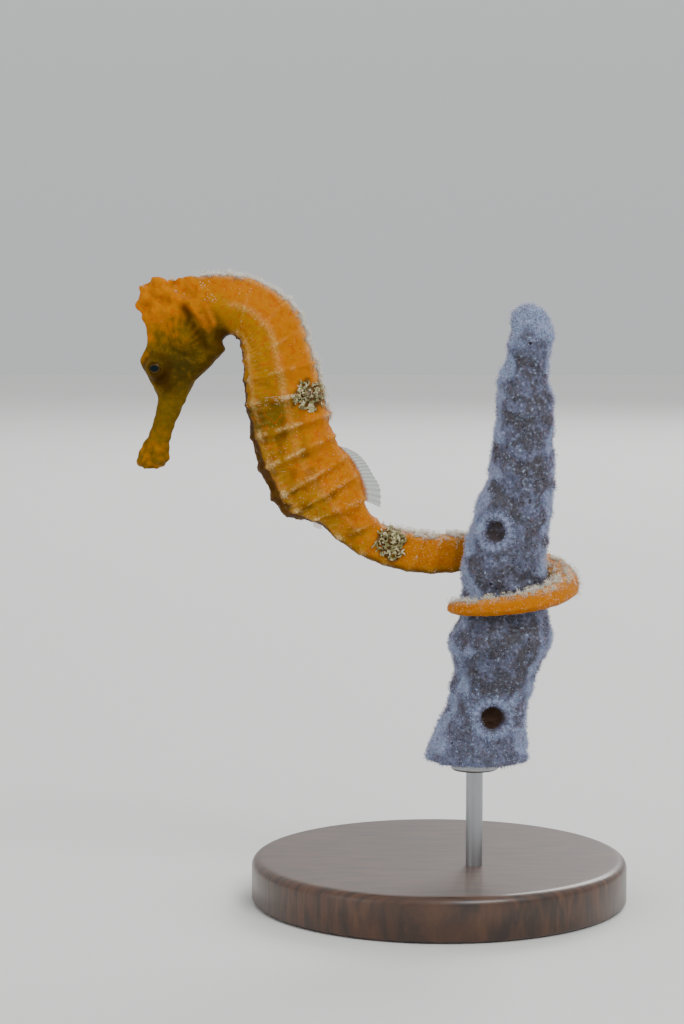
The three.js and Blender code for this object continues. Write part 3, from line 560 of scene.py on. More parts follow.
# Relief of the plates, in millimetres along the outward direction: lines on the rings, hollows between them,
# ridges, and a knob where the two meet. It is flatter on the upper trunk, its last rings and the tail.
PLATE_LINE, PLATE_HOLLOW, PLATE_RIDGE, PLATE_KNOB = 0.29, 0.20, 0.14, 0.36
past_ring = ring_at - np.round(ring_at)
ring_from = np.abs(past_ring)
on_body = step(0.0, 0.8, ring_at)
on_trunk = 1 - step(TRUNK_RINGS - 0.5, TRUNK_RINGS + 1.5, ring_at)
on_tail = 1 - on_trunk
low_trunk = step(2.5, 6.5, ring_at)
keel = hill(turn_from(180), 14)
trunk_ridge = np.max([hill(turn_from(ridge), 5.5) * np.ones_like(at) for ridge in trunk_ridges], axis=0)
tail_ridge = np.max([hill(turn_from(ridge), 9) for ridge in (45, 135, 225, 315)], axis=0)
ridge = trunk_ridge * on_trunk + tail_ridge * on_tail
ring_crest = hill(ring_from, 0.06)
ring_knob = hill(ring_from, 0.16) * ridge
relief = on_body * row_size * (1 - step(0.9, 1.0, tail_at)) * (1 - 0.35 * step(7.0, 9.0, ring_at)) * (
    (PLATE_LINE * hill(ring_from, 0.085) - PLATE_HOLLOW * hill(ring_from - 0.5, 0.28)) * (0.45 + 0.55 * low_trunk)
    + PLATE_RIDGE * ridge * (0.4 + 0.6 * on_trunk)
    + PLATE_KNOB * ring_knob * (1 - 0.7 * keel) * (0.4 + 0.6 * low_trunk)
)
# Fine folds cross each trunk plate on the belly's half, and soft lumps cover everything.
FOLDS_A_RING, FOLD_HEIGHT = 5, 0.028
fold = np.sin(2 * np.pi * ring_at * FOLDS_A_RING + 0.8 * lumps(skin, 3.0, 10))
front_half = step(-0.1, -0.7, np.cos(np.radians(skin_turn)))
relief = relief + FOLD_HEIGHT * fold * front_half * on_trunk * on_body
relief = relief + (0.09 * lumps(skin, 1.1, 11) + 0.045 * lumps(skin, 0.5, 12)) * (0.35 + 0.65 * on_body) * row_size
skin = skin + grid_normals(skin) * relief[..., None]

# The head: eye turrets, brow, gill covers, crown knobs, shoulder plates and mouth.
EYE_CENTRE = np.array([-50.75, 2.3, 96.45])
EYE_RADIUS = 1.75
EYE_INNER = 1.4  # the dip in the skin behind the eyeball
TURRET_RADIUS = 2.0
SKIRT = 0.28  # how softly the turret runs out into the head
LID_OPENING = (1.02, 1.14)  # the lid's inner and outer edge, off the eye's own axis
EYE_AXIS = unit(np.array([-0.12, 1.0, 0.02]))
GILL_CENTRE = np.array([-45.7, 102.7])
GILL_HALF = (3.0, 3.9)
GILL_TURN, GILL_RIBS = np.radians(-22), 26

on_head = step(NECK_AT + 1.5, NECK_AT - 0.5, at)
snout_end = step(4.6, 2.6, at)
mirror = np.where(skin[..., 1] < 0, -1.0, 1.0)
folded = skin * np.stack([np.ones_like(mirror), mirror, np.ones_like(mirror)], axis=-1)
flank = step(0.8, 2.2, folded[..., 1]) * on_head


def along_line(start, end):
    """Distance in the side view from a straight line between two points, each an x and z, and how far along
    it the nearest place lies, from 0 to 1."""
    start, end = np.array(start), np.array(end)
    flat = folded[..., [0, 2]] - start
    share = np.clip(flat @ (end - start) / np.sum((end - start) ** 2), 0, 1)
    return np.linalg.norm(flat - share[..., None] * (end - start), axis=-1), share


def side_far(x, z, half_x=1.0, half_z=1.0):
    """Distance in the side view from a place, in units of two half sizes."""
    return np.hypot((folded[..., 0] - x) / half_x, (folded[..., 2] - z) / half_z)


def knob(x, z, y, width):
    """A soft knob at a place on the head, the same on both sides."""
    return hill(np.linalg.norm(folded - np.array([x, y, z]), axis=-1), width)


gill_ahead, gill_above = folded[..., 0] - GILL_CENTRE[0], folded[..., 2] - GILL_CENTRE[1]
gill_x = gill_ahead * np.cos(GILL_TURN) - gill_above * np.sin(GILL_TURN)
gill_z = gill_ahead * np.sin(GILL_TURN) + gill_above * np.cos(GILL_TURN)
gill_reach = np.hypot(gill_x / GILL_HALF[0], gill_z / GILL_HALF[1])
gill_angle = np.arctan2(gill_z + 2.5, gill_x + 2.2)
gill_rear = step(-0.5, 0.6, gill_x / 3 - gill_z / 6)
gill_streak = np.cos(gill_angle * GILL_RIBS) * step(0.15, 0.6, gill_reach) * step(1.0, 0.8, gill_reach)
plate_far, plate_share = along_line((-46.4, 110.0), (-42.0, 104.2))
plate_far_2, plate_share_2 = along_line((-42.1, 107.9), (-40.5, 104.5))
groove_far, _ = along_line((-45.7, 107.1), (-41.7, 100.1))
cheek_far, _ = along_line((-49.6, 98.2), (-47.0, 101.2))
mouth_far, _ = along_line((-53.4, 78.6), (-51.6, 81.4))
# Heights and depths here are in millimetres.
relief = flank * (
    0.9 * np.clip(1 - gill_reach**2, 0, None) ** 0.8  # the gill cover's dome
    - 0.30 * hill(gill_reach - 1.12, 0.13) * gill_rear  # the slit behind it
    + 0.08 * gill_streak  # its fan of fine ribs
    + 0.52 * hill(plate_far, 0.5) * (0.5 + plate_share)  # the two shoulder plates
    + 0.45 * hill(plate_far_2, 0.45) * (0.5 + plate_share_2)
    - 0.42 * hill(groove_far, 0.6)  # the groove before them
    + 0.18 * hill(cheek_far, 0.6)  # the cheekbone under the eye
)
# height, and then x, z, y and width of each knob: on the crown, the brow, the snout and the throat
KNOBS = [
    (0.12, -54.6, 107.4, 0.6, 0.85), (0.10, -53.4, 110.9, 0.9, 0.8), (0.45, -50.2, 112.6, 1.2, 0.8),
    (0.42, -52.0, 110.2, 1.9, 0.9), (0.35, -49.0, 109.4, 2.4, 0.9), (0.60, -53.5, 98.6, 1.2, 0.55),
    (0.15, -51.6, 94.0, 1.7, 0.6), (0.30, -46.7, 112.6, 1.0, 0.7), (0.35, -41.2, 97.0, 1.6, 0.5),
]
crown = on_head * step(103.0, 108.5, folded[..., 2] - 0.25 * (folded[..., 0] + 50))
crown_lumps = lumps(folded, 1.3, 15)
relief = relief + 0.16 * lumps(folded, 0.8, 18) * snout_end + on_head * (
    sum(height * knob(*place) for height, *place in KNOBS) - 0.26 * hill(mouth_far, 0.2)
    + (1 - crown) * 0.06 * lumps(folded, 0.8, 17)
)
relief = relief + crown * (0.32 * crown_lumps + 0.12 * lumps(folded, 0.6, 16))
skin = skin + grid_normals(skin) * relief[..., None]
for eye_side in (-1, 1):
    # The turret lifts the skin along the eye's axis to a dome, which runs out softly into the head. Within the
    # lid's edge the skin dips behind the eyeball.
    eye, axis = EYE_CENTRE * [1, eye_side, 1], EYE_AXIS * [1, eye_side, 1]
    offset = skin - eye
    depth = offset @ axis
    aside = np.linalg.norm(offset - depth[..., None] * axis, axis=-1)
    dome = np.sqrt(np.clip(TURRET_RADIUS**2 - aside**2, 0, None)) - 1.5 * np.clip(aside - TURRET_RADIUS, 0, None)
    dome = dome + 0.06 * lumps(skin, 0.7, 19) * step(LID_OPENING[1], LID_OPENING[1] + 0.3, aside)
    lifted = SKIRT * np.logaddexp(depth / SKIRT, dome / SKIRT)
    behind = np.sqrt(np.clip(EYE_INNER**2 - aside**2, 0, None))
    lifted = lifted + (behind - lifted) * step(LID_OPENING[1], LID_OPENING[0], aside)
    beside = (skin[..., 1] * eye_side > 0.3) & (aside < 3.2) & (depth > -2)
    skin = skin + axis * np.where(beside, lifted - depth, 0)[..., None]
normal = grid_normals(skin)

# Masks that the markings follow, one number a point. Where it says 1, the marking is at its fullest.
cos_turn = np.cos(np.radians(skin_turn))[None, :]
rise = normal[..., 2]
trunk_skin, tail_skin = on_trunk * on_body, on_tail * on_body
spot_size = 0.5 + 0.5 * np.clip(lumps(skin, 5.0, 30), -1, 1)
eye_far = np.linalg.norm(folded - EYE_CENTRE, axis=-1)
head_height = folded[..., 2] - 0.3 * (folded[..., 0] + 48)
head_orange = step(97.0, 109.2, head_height + 1.5 * lumps(skin, 2.0, 32) + 0.9 * lumps(skin, 0.8, 47))
mask_back = np.max([
    step(-0.55, 0.45, cos_turn + 0.35 * lumps(skin, 4.0, 31)) * step(-0.6, 0.1, ring_at),
    head_orange * on_head, tail_skin * step(-0.9, -0.1, cos_turn),
], axis=0)
# Olive covers the face, the gill cover's middle, the plate under the trunk's band and the low belly, where it is
# partly the skin's own olive and partly painted shade on the belly's side.
mask_olive = np.clip(
    on_head * step(0.95, 0.05, head_orange) + 0.55 * hill(side_far(-45.7, 105.2), 1.8) * flank
    + trunk_skin * step(0.7, 0.1, cos_turn) * hill(ring_at - 5.5, 0.5) * (0.9 + 0.25 * lumps(skin, 1.2, 39))
    + 0.32 * on_trunk * low_trunk * step(0.3, -0.3, cos_turn + 0.25 * lumps(skin, 2.0, 45)),
    0, 1,
)
cheek_dark = hill(side_far(-46.2, 96.6, 4.4, 4.2), 1.0) * flank
dark_far, _ = along_line((-50.4, 95.8), (-48.7, 93.2))
# Two crusts, under which the skin is painted dark as painted shade: centre x and z, and half sizes, on the left side.
CRUSTS = [((-23.2, 91.6), (3.1, 2.6)), ((-9.0, 65.2), (2.3, 2.8))]
mask_crust = np.zeros_like(rise)
for crust, half in CRUSTS:
    crusted = step(1.25, 0.8, side_far(*crust, *half) + 0.2 * lumps(skin, 1.0, 36))
    mask_crust = np.maximum(mask_crust, crusted * (skin[..., 1] < 0))
bend_far = np.hypot(skin[..., 0] + 38.2, skin[..., 2] - 102.4)
# Darkening, partly dark skin and partly painted shade, in this order: before the eye (dark skin and painted shade),
# round it (painted shade), the groove (painted shadow of the gill cover's rim), between the gill's ribs (painted
# shade), the keel (dark skin), under the tail (painted shade), the crusts' ground (painted shade under them), mottles
# (dark skin), and painted shade below the rings, on the throat, between the crown's knobs, and in the neck's bend.
mask_dark_and_shade = np.clip(
    0.85 * hill(dark_far, 1.5) * on_head * step(0.6, 1.8, folded[..., 1])
    + 0.55 * hill(eye_far - 2.4, 0.7) * on_head
    + 0.75 * flank * hill(groove_far, 0.95) + 0.28 * flank * np.clip(-gill_streak, 0, 1)
    + trunk_skin * 0.9 * step(0.0, -0.10, cos_turn + 0.93 - 0.027 * spread + 0.04 * lumps(skin, 1.2, 35))
    + tail_skin * 0.75 * step(-0.5, -0.8, cos_turn) * step(0.75, 0.3, tail_at) + 0.95 * mask_crust
    + 0.42 * on_trunk * low_trunk * step(0.0, 0.9, lumps(skin, 1.3, 46)) * step(0.6, 0.0, cos_turn)
    + 0.32 * on_trunk * low_trunk * hill(past_ring - 0.2, 0.13) * step(0.95, 0.6, cos_turn)
    + on_head * 0.5 * step(-0.6, -0.9, cos_turn) * step(5.0, 8.0, at)
    + 0.12 * crown * step(0.0, -1.0, crown_lumps) + 0.5 * hill(bend_far, 3.2),
    0, 1,
)
# Pale lines: the rings' crests, their knobs, the trunk's ridges, the fine folds and the tail's knobs.
mask_ridge = np.clip(
    trunk_skin * (
        0.9 * ring_crest * step(-0.8, -0.5, cos_turn) * step(0.1, 0.9, 0.45 + lumps(skin, 1.1, 33))
        * (0.2 + 0.8 * low_trunk) * (1 - 0.65 * step(7.2, 8.6, ring_at)) * step(1.2, 0.2, cos_turn)
        + hill(ring_from, 0.12) * ridge * (0.8 * hill(np.abs(180 - skin_turn) - 39 - spread, 14) + 0.2) * (1 - keel)
        * (0.35 + 0.65 * low_trunk)
        + (0.12 + 0.22 * step(6.0, 4.5, ring_at)) * trunk_ridge * (1 - keel)
        + 0.16 * front_half * np.clip(fold, 0, 1) * step(-0.8, -0.6, cos_turn)
    )
    + 0.2 * ring_knob * tail_skin,
    0, 1,
)
# Frost is where algae whiten the skin: the back's fringe, the tail's top, the coil's side, the crusts' ground,
# the crown, and stray tufts.
fringe = step(NECK_AT - 0.1, NECK_AT + 0.7, at) * on_trunk * step(0.78, 0.98, cos_turn)
crown_frost = on_head * step(108.5, 110.5, skin[..., 2]) * step(0.5, 0.8, rise) * step(0.1, 0.6, lumps(skin, 1.2, 43))
stray = trunk_skin * step(0.35, 0.8, cos_turn) * step(0.5, 1.0, lumps(skin, 1.1, 44))
mask_frost = np.clip(
    fringe * step(TRUNK_END_AT - 4.0, TRUNK_END_AT - 7.0, at)
    + step(TRUNK_END_AT, TRUNK_END_AT + 2, at) * step(0.25, 0.85, rise) * (1 - 0.5 * step(0.72, 0.9, tail_at)),
    0, 1,
) * (0.6 + 0.4 * spot_size)
mask_frost = np.max([
    mask_frost, hill(at - 37.8, 1.6) * step(0.0, 0.7, cos_turn) * (0.55 + 0.35 * spot_size), 0.15 * mask_crust,
    0.7 * crown_frost, 0.05 * stray,
], axis=0)
mask_speck = np.clip(
    on_body * (0.12 + 0.9 * step(4.5, 8.5, ring_at)) * (0.3 + 0.7 * spot_size) * (1 - mask_dark_and_shade)
    + 0.6 * mask_frost, 0, 1,
)
mask_face = on_head * (1 - 0.92 * head_orange) * (0.55 + 0.45 * step(4.0, 8.0, at))
# Brightest orange, partly the skin's own colour and partly painted highlight: painted highlight on the shoulder
# plates' ridges, the gill's ribs, the brow's knob and the tops of the crown's knobs, and brighter orange on the
# snout's tip and the back.
mask_bright_and_highlight = np.max([
    flank * hill(plate_far, 0.7) * (0.4 + 0.6 * plate_share), flank * hill(plate_far_2, 0.6) * plate_share_2,
    (0.3 * step(-0.7, 1.1, lumps(skin, 0.9, 34)) + 0.1) * snout_end, 0.28 * np.clip(gill_streak, 0, 1) * flank,
    0.5 * knob(-53.3, 98.5, 1.3, 1.2) * on_head, 0.8 * crown * step(-0.6, 0.6, crown_lumps),
    0.5 * trunk_skin * step(-0.3, 0.6, cos_turn) * (0.5 + 0.5 * spot_size),
], axis=0)
skin_masks = {
    "back": mask_back, "olive": mask_olive, "dark_and_shade": mask_dark_and_shade, "ridge": mask_ridge, "frost": mask_frost,
    "speck": mask_speck, "bright": mask_bright_and_highlight, "face": mask_face, "cheek": cheek_dark,
}

# Seahorse skin: thin wet skin over bone, deep in colour, with only a soft satin gloss.
ORANGE, OCHRE = "#B66A00", "#A87200"
CLOUD_MM, PIMPLE_MM = 2.4, 0.28
# size of the blots in mm, detail and roughness of each noise
PATTERNS = {
    "shade": (0.9, 5, 0.5), "light": (0.55, 4, 0.5), "blot": (1.1, 5, 0.68), "crumbs": (0.42, 3, 0.5),
    "grains": (0.33, 2, 0.5),
}
DOT_MM = 0.75
# where it lies, its pattern, the pattern's values at its edge and heart, its cover at both, and its colour
LAYERS = [
    # The bright layer is orange that is partly painted highlight.
    ("olive", None, 0, 0, 0, 1, "#6A5206"), ("bright", None, 0, 0, 0, 1, "#C67600"),
    ("body", "shade", 0.50, 0.66, 0, 0.5, "#B44A00"), ("speck", "light", 0.54, 0.68, 0, 0.35, "#D08C08"),
    ("cheek", None, 0, 0, 0, 1, "#40340C"), ("face", "blot", 0.46, 0.32, 0, 0.22, OCHRE),
    ("face", "blot", 0.46, 0.64, 0, 0.55, "#3A2A06"), ("all", "dots", 0.16, 0.10, 0, 0.55, "#5E3A10"),
    # The first layer here is dark skin and painted shade.
    ("dark_and_shade", None, 0, 0, 0, 0.9, "#3A2204"), ("ridge", "crumbs", 0.42, 0.6, 0.25, 0.85, "#E6C07C"),
    ("speck", "grains", 0.60, 0.70, 0, 0.28, "#F0D8A4"), ("frost", "shade", 0.40, 0.66, 0, 0.5, "#D6CFA8"),
]


def seahorse_paint(tree):
    """The animal's markings, with painted shade and painted highlight among them, as a colour: ochre clouded with
    orange, and each layer of LAYERS painted over it, as opaque as its mask times its pattern."""
    place = node(tree, "TexCoord").outputs["Object"]
    mask = {name: node(tree, "Attribute", attribute_name=name).outputs["Fac"] for name in skin_masks}
    mask["all"] = 1.0
    mask["body"] = node(tree, "MapRange", {0: mask["face"], 1: 0.1, 2: 0.6, 3: 1.0, 4: 0.12})
    patterns = {
        name: node(tree, "TexNoise", {"Vector": place, "Scale": 1 / (size * MM), "Detail": fine, "Roughness": rough})
        for name, (size, fine, rough) in PATTERNS.items()
    }
    patterns["dots"] = node(tree, "TexVoronoi", {"Vector": place, "Scale": 1 / (DOT_MM * MM)})
    cloud = node(tree, "TexNoise", {"Vector": place, "Scale": 1 / (CLOUD_MM * MM), "Detail": 4.0})
    warm = node(tree, "MapRange", {0: cloud, 1: 0.35, 2: 0.65, 3: -0.22, 4: 0.22})
    back = node(tree, "Math", {0: mask["back"], 1: warm}, operation="ADD", use_clamp=True)
    colour = node(tree, "Mix", {0: back, 6: hexed(OCHRE), 7: hexed(ORANGE)})
    for where, pattern, edge, heart, least, cover, tint in LAYERS:
        if pattern:
            cover = node(tree, "MapRange", {0: patterns[pattern], 1: edge, 2: heart, 3: least, 4: cover})
        cover = node(tree, "Math", {0: mask[where], 1: cover}, operation="MULTIPLY")
        colour = node(tree, "Mix", {0: cover, 6: colour, 7: hexed(tint)})
    return colour


seahorse_skin, tree, shader = new_material("seahorse_skin")
place = node(tree, "TexCoord").outputs["Object"]
pimples = node(tree, "TexNoise", {"Vector": place, "Scale": 1 / (PIMPLE_MM * MM), "Detail": 4.0})
relief_bump = node(tree, "Bump", {"Height": pimples, "Strength": 0.8, "Distance": 0.16 * MM})
node(tree, shader, {"Base Color": seahorse_paint(tree), "Roughness": 0.45, "IOR": 1.38, "Specular IOR Level": 0.05,
                    "Normal": relief_bump})
seahorse = tube_piece("seahorse_skin", skin, seahorse_skin, skin_masks)
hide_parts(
    "snout", "head", "coronet", "gill_cover_left", "gill_cover_right", "neck", "trunk_upper", "trunk_lower",
    "tail_base", "tail_middle", "tail_behind_perch", "tail_right_turn", "tail_front", "tail_tip",
)

# ---- The eyes ----
# Each eye is a clear wet ball that sits loose in its turret of skin and turns by itself. Under the cornea lies a
# brown iris with fine ochre spokes, round a dark pupil that is longer along the head than up it.

EYE_ROWS, EYE_COLUMNS = 48, 64
PUPIL_HALF = (0.80, 0.57)  # along the head and up it
IRIS_SPOKES = 17
BEHIND_THE_IRIS = 9.0  # what the ball's back half counts, in pupil radii
# Living eye: clear wet cornea over a spoked iris, so the colour lies under a thin gloss.
eye_glass, tree, shader = new_material("seahorse_eye")
pupil, spoke = (node(tree, "Attribute", attribute_name=name).outputs["Fac"] for name in ("pupil", "spoke"))
iris = node(tree, "Mix", {0: spoke, 6: hexed("#33240A"), 7: hexed("#5C400E")})
# From the iris's rim inwards, each band's outer and inner edge in pupil radii, and its colour.
edge = node(tree, "MapRange", {0: pupil, 1: 2.3, 2: 1.7})
iris = node(tree, "Mix", {0: edge, 6: hexed("#3A2A08"), 7: iris})
for outer, inner, tint in ((1.24, 1.12, "#44300A"), (1.06, 0.96, "#06161A")):
    iris = node(tree, "Mix", {0: node(tree, "MapRange", {0: pupil, 1: outer, 2: inner}), 6: iris, 7: hexed(tint)})
node(tree, shader, {"Base Color": iris, "Roughness": 0.3, "IOR": 1.36, "Specular IOR Level": 0.1, "Coat Weight": 0.1,
                    "Coat Roughness": 0.04, "Coat IOR": 1.33})

for side_name, eye_side in (("left", -1), ("right", 1)):
    # The ball's rows run from the front of the eye to its back, round the axis it looks along.
    eye, axis = EYE_CENTRE * [1, eye_side, 1], EYE_AXIS * [1, eye_side, 1]
    ahead = unit(np.cross(axis, np.array([0, 0, 1.0])))
    above = np.cross(ahead, axis)
    lean = np.linspace(0.5, 179.5, EYE_ROWS)[:, None] * np.pi / 180
    spin = np.linspace(0, 2 * np.pi, EYE_COLUMNS, endpoint=False)[None]
    ball = (
        np.cos(lean)[..., None] * axis
        + (np.sin(lean) * np.cos(spin))[..., None] * ahead + (np.sin(lean) * np.sin(spin))[..., None] * above
    )
    flat = np.sin(lean) * EYE_RADIUS
    reach = np.hypot(flat * np.cos(spin) / PUPIL_HALF[0], flat * np.sin(spin) / PUPIL_HALF[1])
    reach = np.where(lean < np.pi / 2, reach, BEHIND_THE_IRIS)
    spokes = 0.5 + 0.3 * np.sin(spin * IRIS_SPOKES + 2 * np.sin(spin * 5)) + 0.2 * lumps(ball * 4, 0.6, 50)
    eyeball = tube_piece(f"eyeball_{side_name}", eye + ball * EYE_RADIUS, eye_glass,
                         {"pupil": reach, "spoke": spokes * np.ones_like(reach)})
    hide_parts(f"eye_{side_name}")

# ---- The fins ----
# A fin is a clear membrane between fine bony rays. The dorsal fin stands on the last trunk rings, a pectoral
# fin fans out behind each gill cover, and a female's anal fin is tiny.

# Fin membrane: thin wet skin, clear and grey-green, on rays that are paler, over a fleshy orange root.
fin_membrane, tree, shader = new_material("seahorse_fin_membrane")
ray, root, cover = (node(tree, "Attribute", attribute_name=name).outputs["Fac"] for name in ("ray", "root", "cover"))
web = node(tree, "Mix", {0: ray, 6: hexed("#4C6256"), 7: hexed("#687C68")})
flesh = node(tree, "Mix", {0: ray, 6: hexed("#AC6000"), 7: hexed("#C87400")})
paint = node(tree, "Mix", {0: root, 6: web, 7: flesh})
node(tree, shader, {"Base Color": paint, "Roughness": 0.35, "IOR": 1.4, "Alpha": cover})

FIN_STEPS, STEPS_A_RAY = 14, 10  # points up a ray, and along the foot from one ray to the next
EDGE_DIP, FIN_WAVE = 0.045, 0.10  # how far the edge dips between rays, as a share, and the fin's bend in mm
WEB_HALF, RAY_EXTRA, EDGE_HALF = 0.045, 0.03, 0.012  # half thicknesses in millimetres


def fin_piece(name, feet, tips, across, rays, tint, faint, fleshy, replaced):
    """A thin closed fin on a grid: places run along the foot, and up each ray from foot to tip. Rays are
    thicker than the membrane between them, and the free edge dips between rays. The fin is tinted like the
    skin by tint and near its root, faint scales how much it covers, and fleshy is how opaque its root is."""
    along = np.linspace(0, 1, rays * STEPS_A_RAY + 1)
    up = np.linspace(0, 1, FIN_STEPS)
    foot, tip = curve(feet, along * (len(feet) - 1)), curve(tips, along * (len(tips) - 1))
    on_ray = 0.5 + 0.5 * np.cos(2 * np.pi * along * rays)
    tip = tip + (foot - tip) * (EDGE_DIP * (1 - on_ray))[:, None]
    middle = foot[:, None] + (tip - foot)[:, None] * up[None, :, None]
    middle = middle + across * (FIN_WAVE * np.sin(along * 9)[:, None] * up)[..., None]
    thick = (WEB_HALF + RAY_EXTRA * on_ray[:, None] ** 2) * (1 - 0.6 * up) + EDGE_HALF
    near, far = middle + across * thick[..., None], middle - across * thick[..., None]
    loop = np.concatenate([near, far[:, ::-1]], axis=1)
    rayed = np.repeat(on_ray[:, None] ** 2, loop.shape[1], axis=1)
    rooted = np.concatenate([1 - up, (1 - up)[::-1]])[None] * np.ones((len(along), 1))
    cover = faint * (0.3 + 0.12 * rayed) + fleshy * step(0.55, 0.85, rooted)
    rooted = tint + (1 - tint) * step(0.45, 0.8, rooted)
    made = tube_piece(name, loop, fin_membrane, {"ray": rayed, "root": rooted, "cover": cover})
    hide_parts(replaced)


ACROSS = np.array([0, 1.0, 0])
# points along each fin's foot, and along its free edge, from front to back
DORSAL_FEET = [
    (-18.6, 0, 82.6), (-17.3, 0, 80.9), (-16.1, 0, 79.2), (-15.3, 0, 77.3), (-14.6, 0, 75.1), (-14.2, 0, 73.0),
]
DORSAL_TIPS = [
    (-16.9, 0, 82.2), (-14.9, 0, 81.2), (-13.3, 0, 79.6), (-12.0, 0, 77.4), (-10.7, 0, 74.9), (-10.6, 0, 71.4),
]
ANAL_FEET = [(-22.9, 0, 69.2), (-22.0, 0, 68.9), (-21.3, 0, 68.5)]
ANAL_TIPS = [(-22.7, 0, 68.0), (-22.0, 0, 67.6), (-21.1, 0, 67.5)]
fin_piece("dorsal_fin_membrane", DORSAL_FEET, DORSAL_TIPS, ACROSS, rays=17, tint=0.0, faint=1, fleshy=0.6,
          replaced="dorsal_fin")
fin_piece("anal_fin_membrane", ANAL_FEET, ANAL_TIPS, ACROSS, rays=4, tint=0.95, faint=0.7, fleshy=0.4,
          replaced="anal_fin")
for side_name, side in (("left", -1), ("right", 1)):
    feet = [(-43.4, 3.9 * side, 106.4), (-43.1, 4.0 * side, 105.4), (-42.7, 4.0 * side, 104.4)]
    tips = [(-40.2, 5.0 * side, 106.9), (-39.7, 5.2 * side, 104.6), (-41.0, 4.9 * side, 102.4)]
    fin_piece(f"pectoral_fin_membrane_{side_name}", feet, tips, unit(ACROSS + [0.3 * side, 0, 0]), rays=12, tint=1.0,
              faint=0.38, fleshy=0, replaced=f"pectoral_fin_{side_name}")

# ---- The algae on the skin ----
# Fine pale algae and silt grow as a fuzz on what faces up: the arch of the neck, the back, and the top of the
# tail. A much shorter fuzz covers the rest, and is shortest on the head.

# Filament algae and silt: each tuft has the skin's own colour at its root and pales to its tip where it is long.
algae_fuzz, tree, shader = new_material("algae_fuzz")
tip, frost = (node(tree, "Attribute", attribute_name=name).outputs["Fac"] for name in ("tip", "frost"))
pale = node(tree, "MapRange", {0: frost, 1: 0.05, 2: 0.5})
pale = node(tree, "Math", {0: pale, 1: tip}, operation="MULTIPLY")
pale = node(tree, "MapRange", {0: pale, 2: 0.8, 4: 0.95})
paint = node(tree, "Mix", {0: pale, 6: seahorse_paint(tree), 7: hexed("#F4F6EE")})
node(tree, shader, {"Base Color": paint, "Roughness": 0.7, "Specular IOR Level": 0.3, "Subsurface Weight": 0.3,
                    "Subsurface Scale": 0.3 * MM})

# name, spikes, shortest and longest in mm, width in mm, how far it leans along the body
FUZZ_PIECES = [
    ("algae_fuzz_back", 13000, (0.15, 1.2), 0.075, 0.1),
    ("algae_fuzz_tail", 14000, (0.12, 1.1), 0.075, 0.1),
    ("algae_fuzz_fine", 15000, (0.06, 0.2), 0.05, 0.7),
]
FUZZ_SPREAD, FUZZ_SWAY = 0.5, 0.3
EYE_CLEARING = (2.5, 3.4)  # no fuzz nearer to an eye's middle than the first, and all of it past the second
everywhere = np.ones_like(mask_frost)
fuzz_clumps = 0.03 + 0.97 * step(0.0, 1.0, lumps(skin, 0.7, 40))
clear_eye = step(*EYE_CLEARING, eye_far) * everywhere
frosted = np.clip(mask_frost - 0.12, 0, None) * fuzz_clumps
fuzz_weights = [
    frosted * (at < TRUNK_END_AT) * (0.55 + 0.9 * hill(at - NECK_AT - 3, 2.5)),
    frosted * (at >= TRUNK_END_AT),
    (0.35 + 0.65 * fuzz_clumps) * (0.35 + 0.65 * on_body) * step(3.0, 6.0, at),
]
draw = np.random.default_rng(41)
lie = unit(np.gradient(skin, axis=0))
for (name, count, (short, long), width, leaning), weight in zip(FUZZ_PIECES, fuzz_weights):
    row, column = scatter(draw, skin, weight * clear_eye, count)
    ways = sample(normal, row, column) + leaning * sample(lie, row, column) + draw.normal(0, FUZZ_SPREAD, (count, 3))
    on_face = sample(on_head * everywhere, row, column)
    lengths = draw.uniform(short, long, count) * draw.uniform(0.4, 1.1, count) * (1 - 0.5 * on_face)
    lengths = lengths * (0.55 + 0.45 * sample(fuzz_clumps, row, column))
    root_masks = {k: sample(m * everywhere, row, column) for k, m in skin_masks.items()}
    fuzz = spikes(
        name, sample(skin, row, column), unit(ways), lengths, width * draw.uniform(0.6, 1.4, count),
        draw.normal(0, FUZZ_SWAY, (count, 3)), grid_place(skin, row, column), algae_fuzz, root_masks,
    )
    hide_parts("head" if "fine" in name else "neck" if "back" in name else "tail_middle")

# ---- Crusts and grains ----
# Two crusts of tiny chalky worm tubes grow on the left flank and the left of the tail, over skin painted dark as
# painted shade, and pale sand and shell grains lie caught in the fuzz and on the trunk.

# Worm-tube chalk: dull and ivory, greener where algae film it.
FILM_MM = 0.8
chalk, tree, shader = new_material("worm_tube_chalk")
film = node(tree, "TexNoise", {"Vector": node(tree, "TexCoord").outputs["Object"], "Scale": 1 / (FILM_MM * MM),
                               "Detail": 3.0})
film = node(tree, "MapRange", {0: film, 1: 0.38, 2: 0.56})
paint = node(tree, "Mix", {0: film, 6: hexed("#CCC298"), 7: hexed("#7A7446")})
node(tree, shader, {"Base Color": paint, "Roughness": 0.8})

TUBE_STEPS, TUBE_SIDES, TUBES_EACH = 9, 6, 90
TUBE_LENGTH, TUBE_LIFT, TUBE_HALF = (0.5, 1.5), (0.05, 0.45), (0.11, 0.21)  # least and most, in millimetres
TUBE_BEND = 5.0  # how far a tube's heading turns at most, to either side, in radians


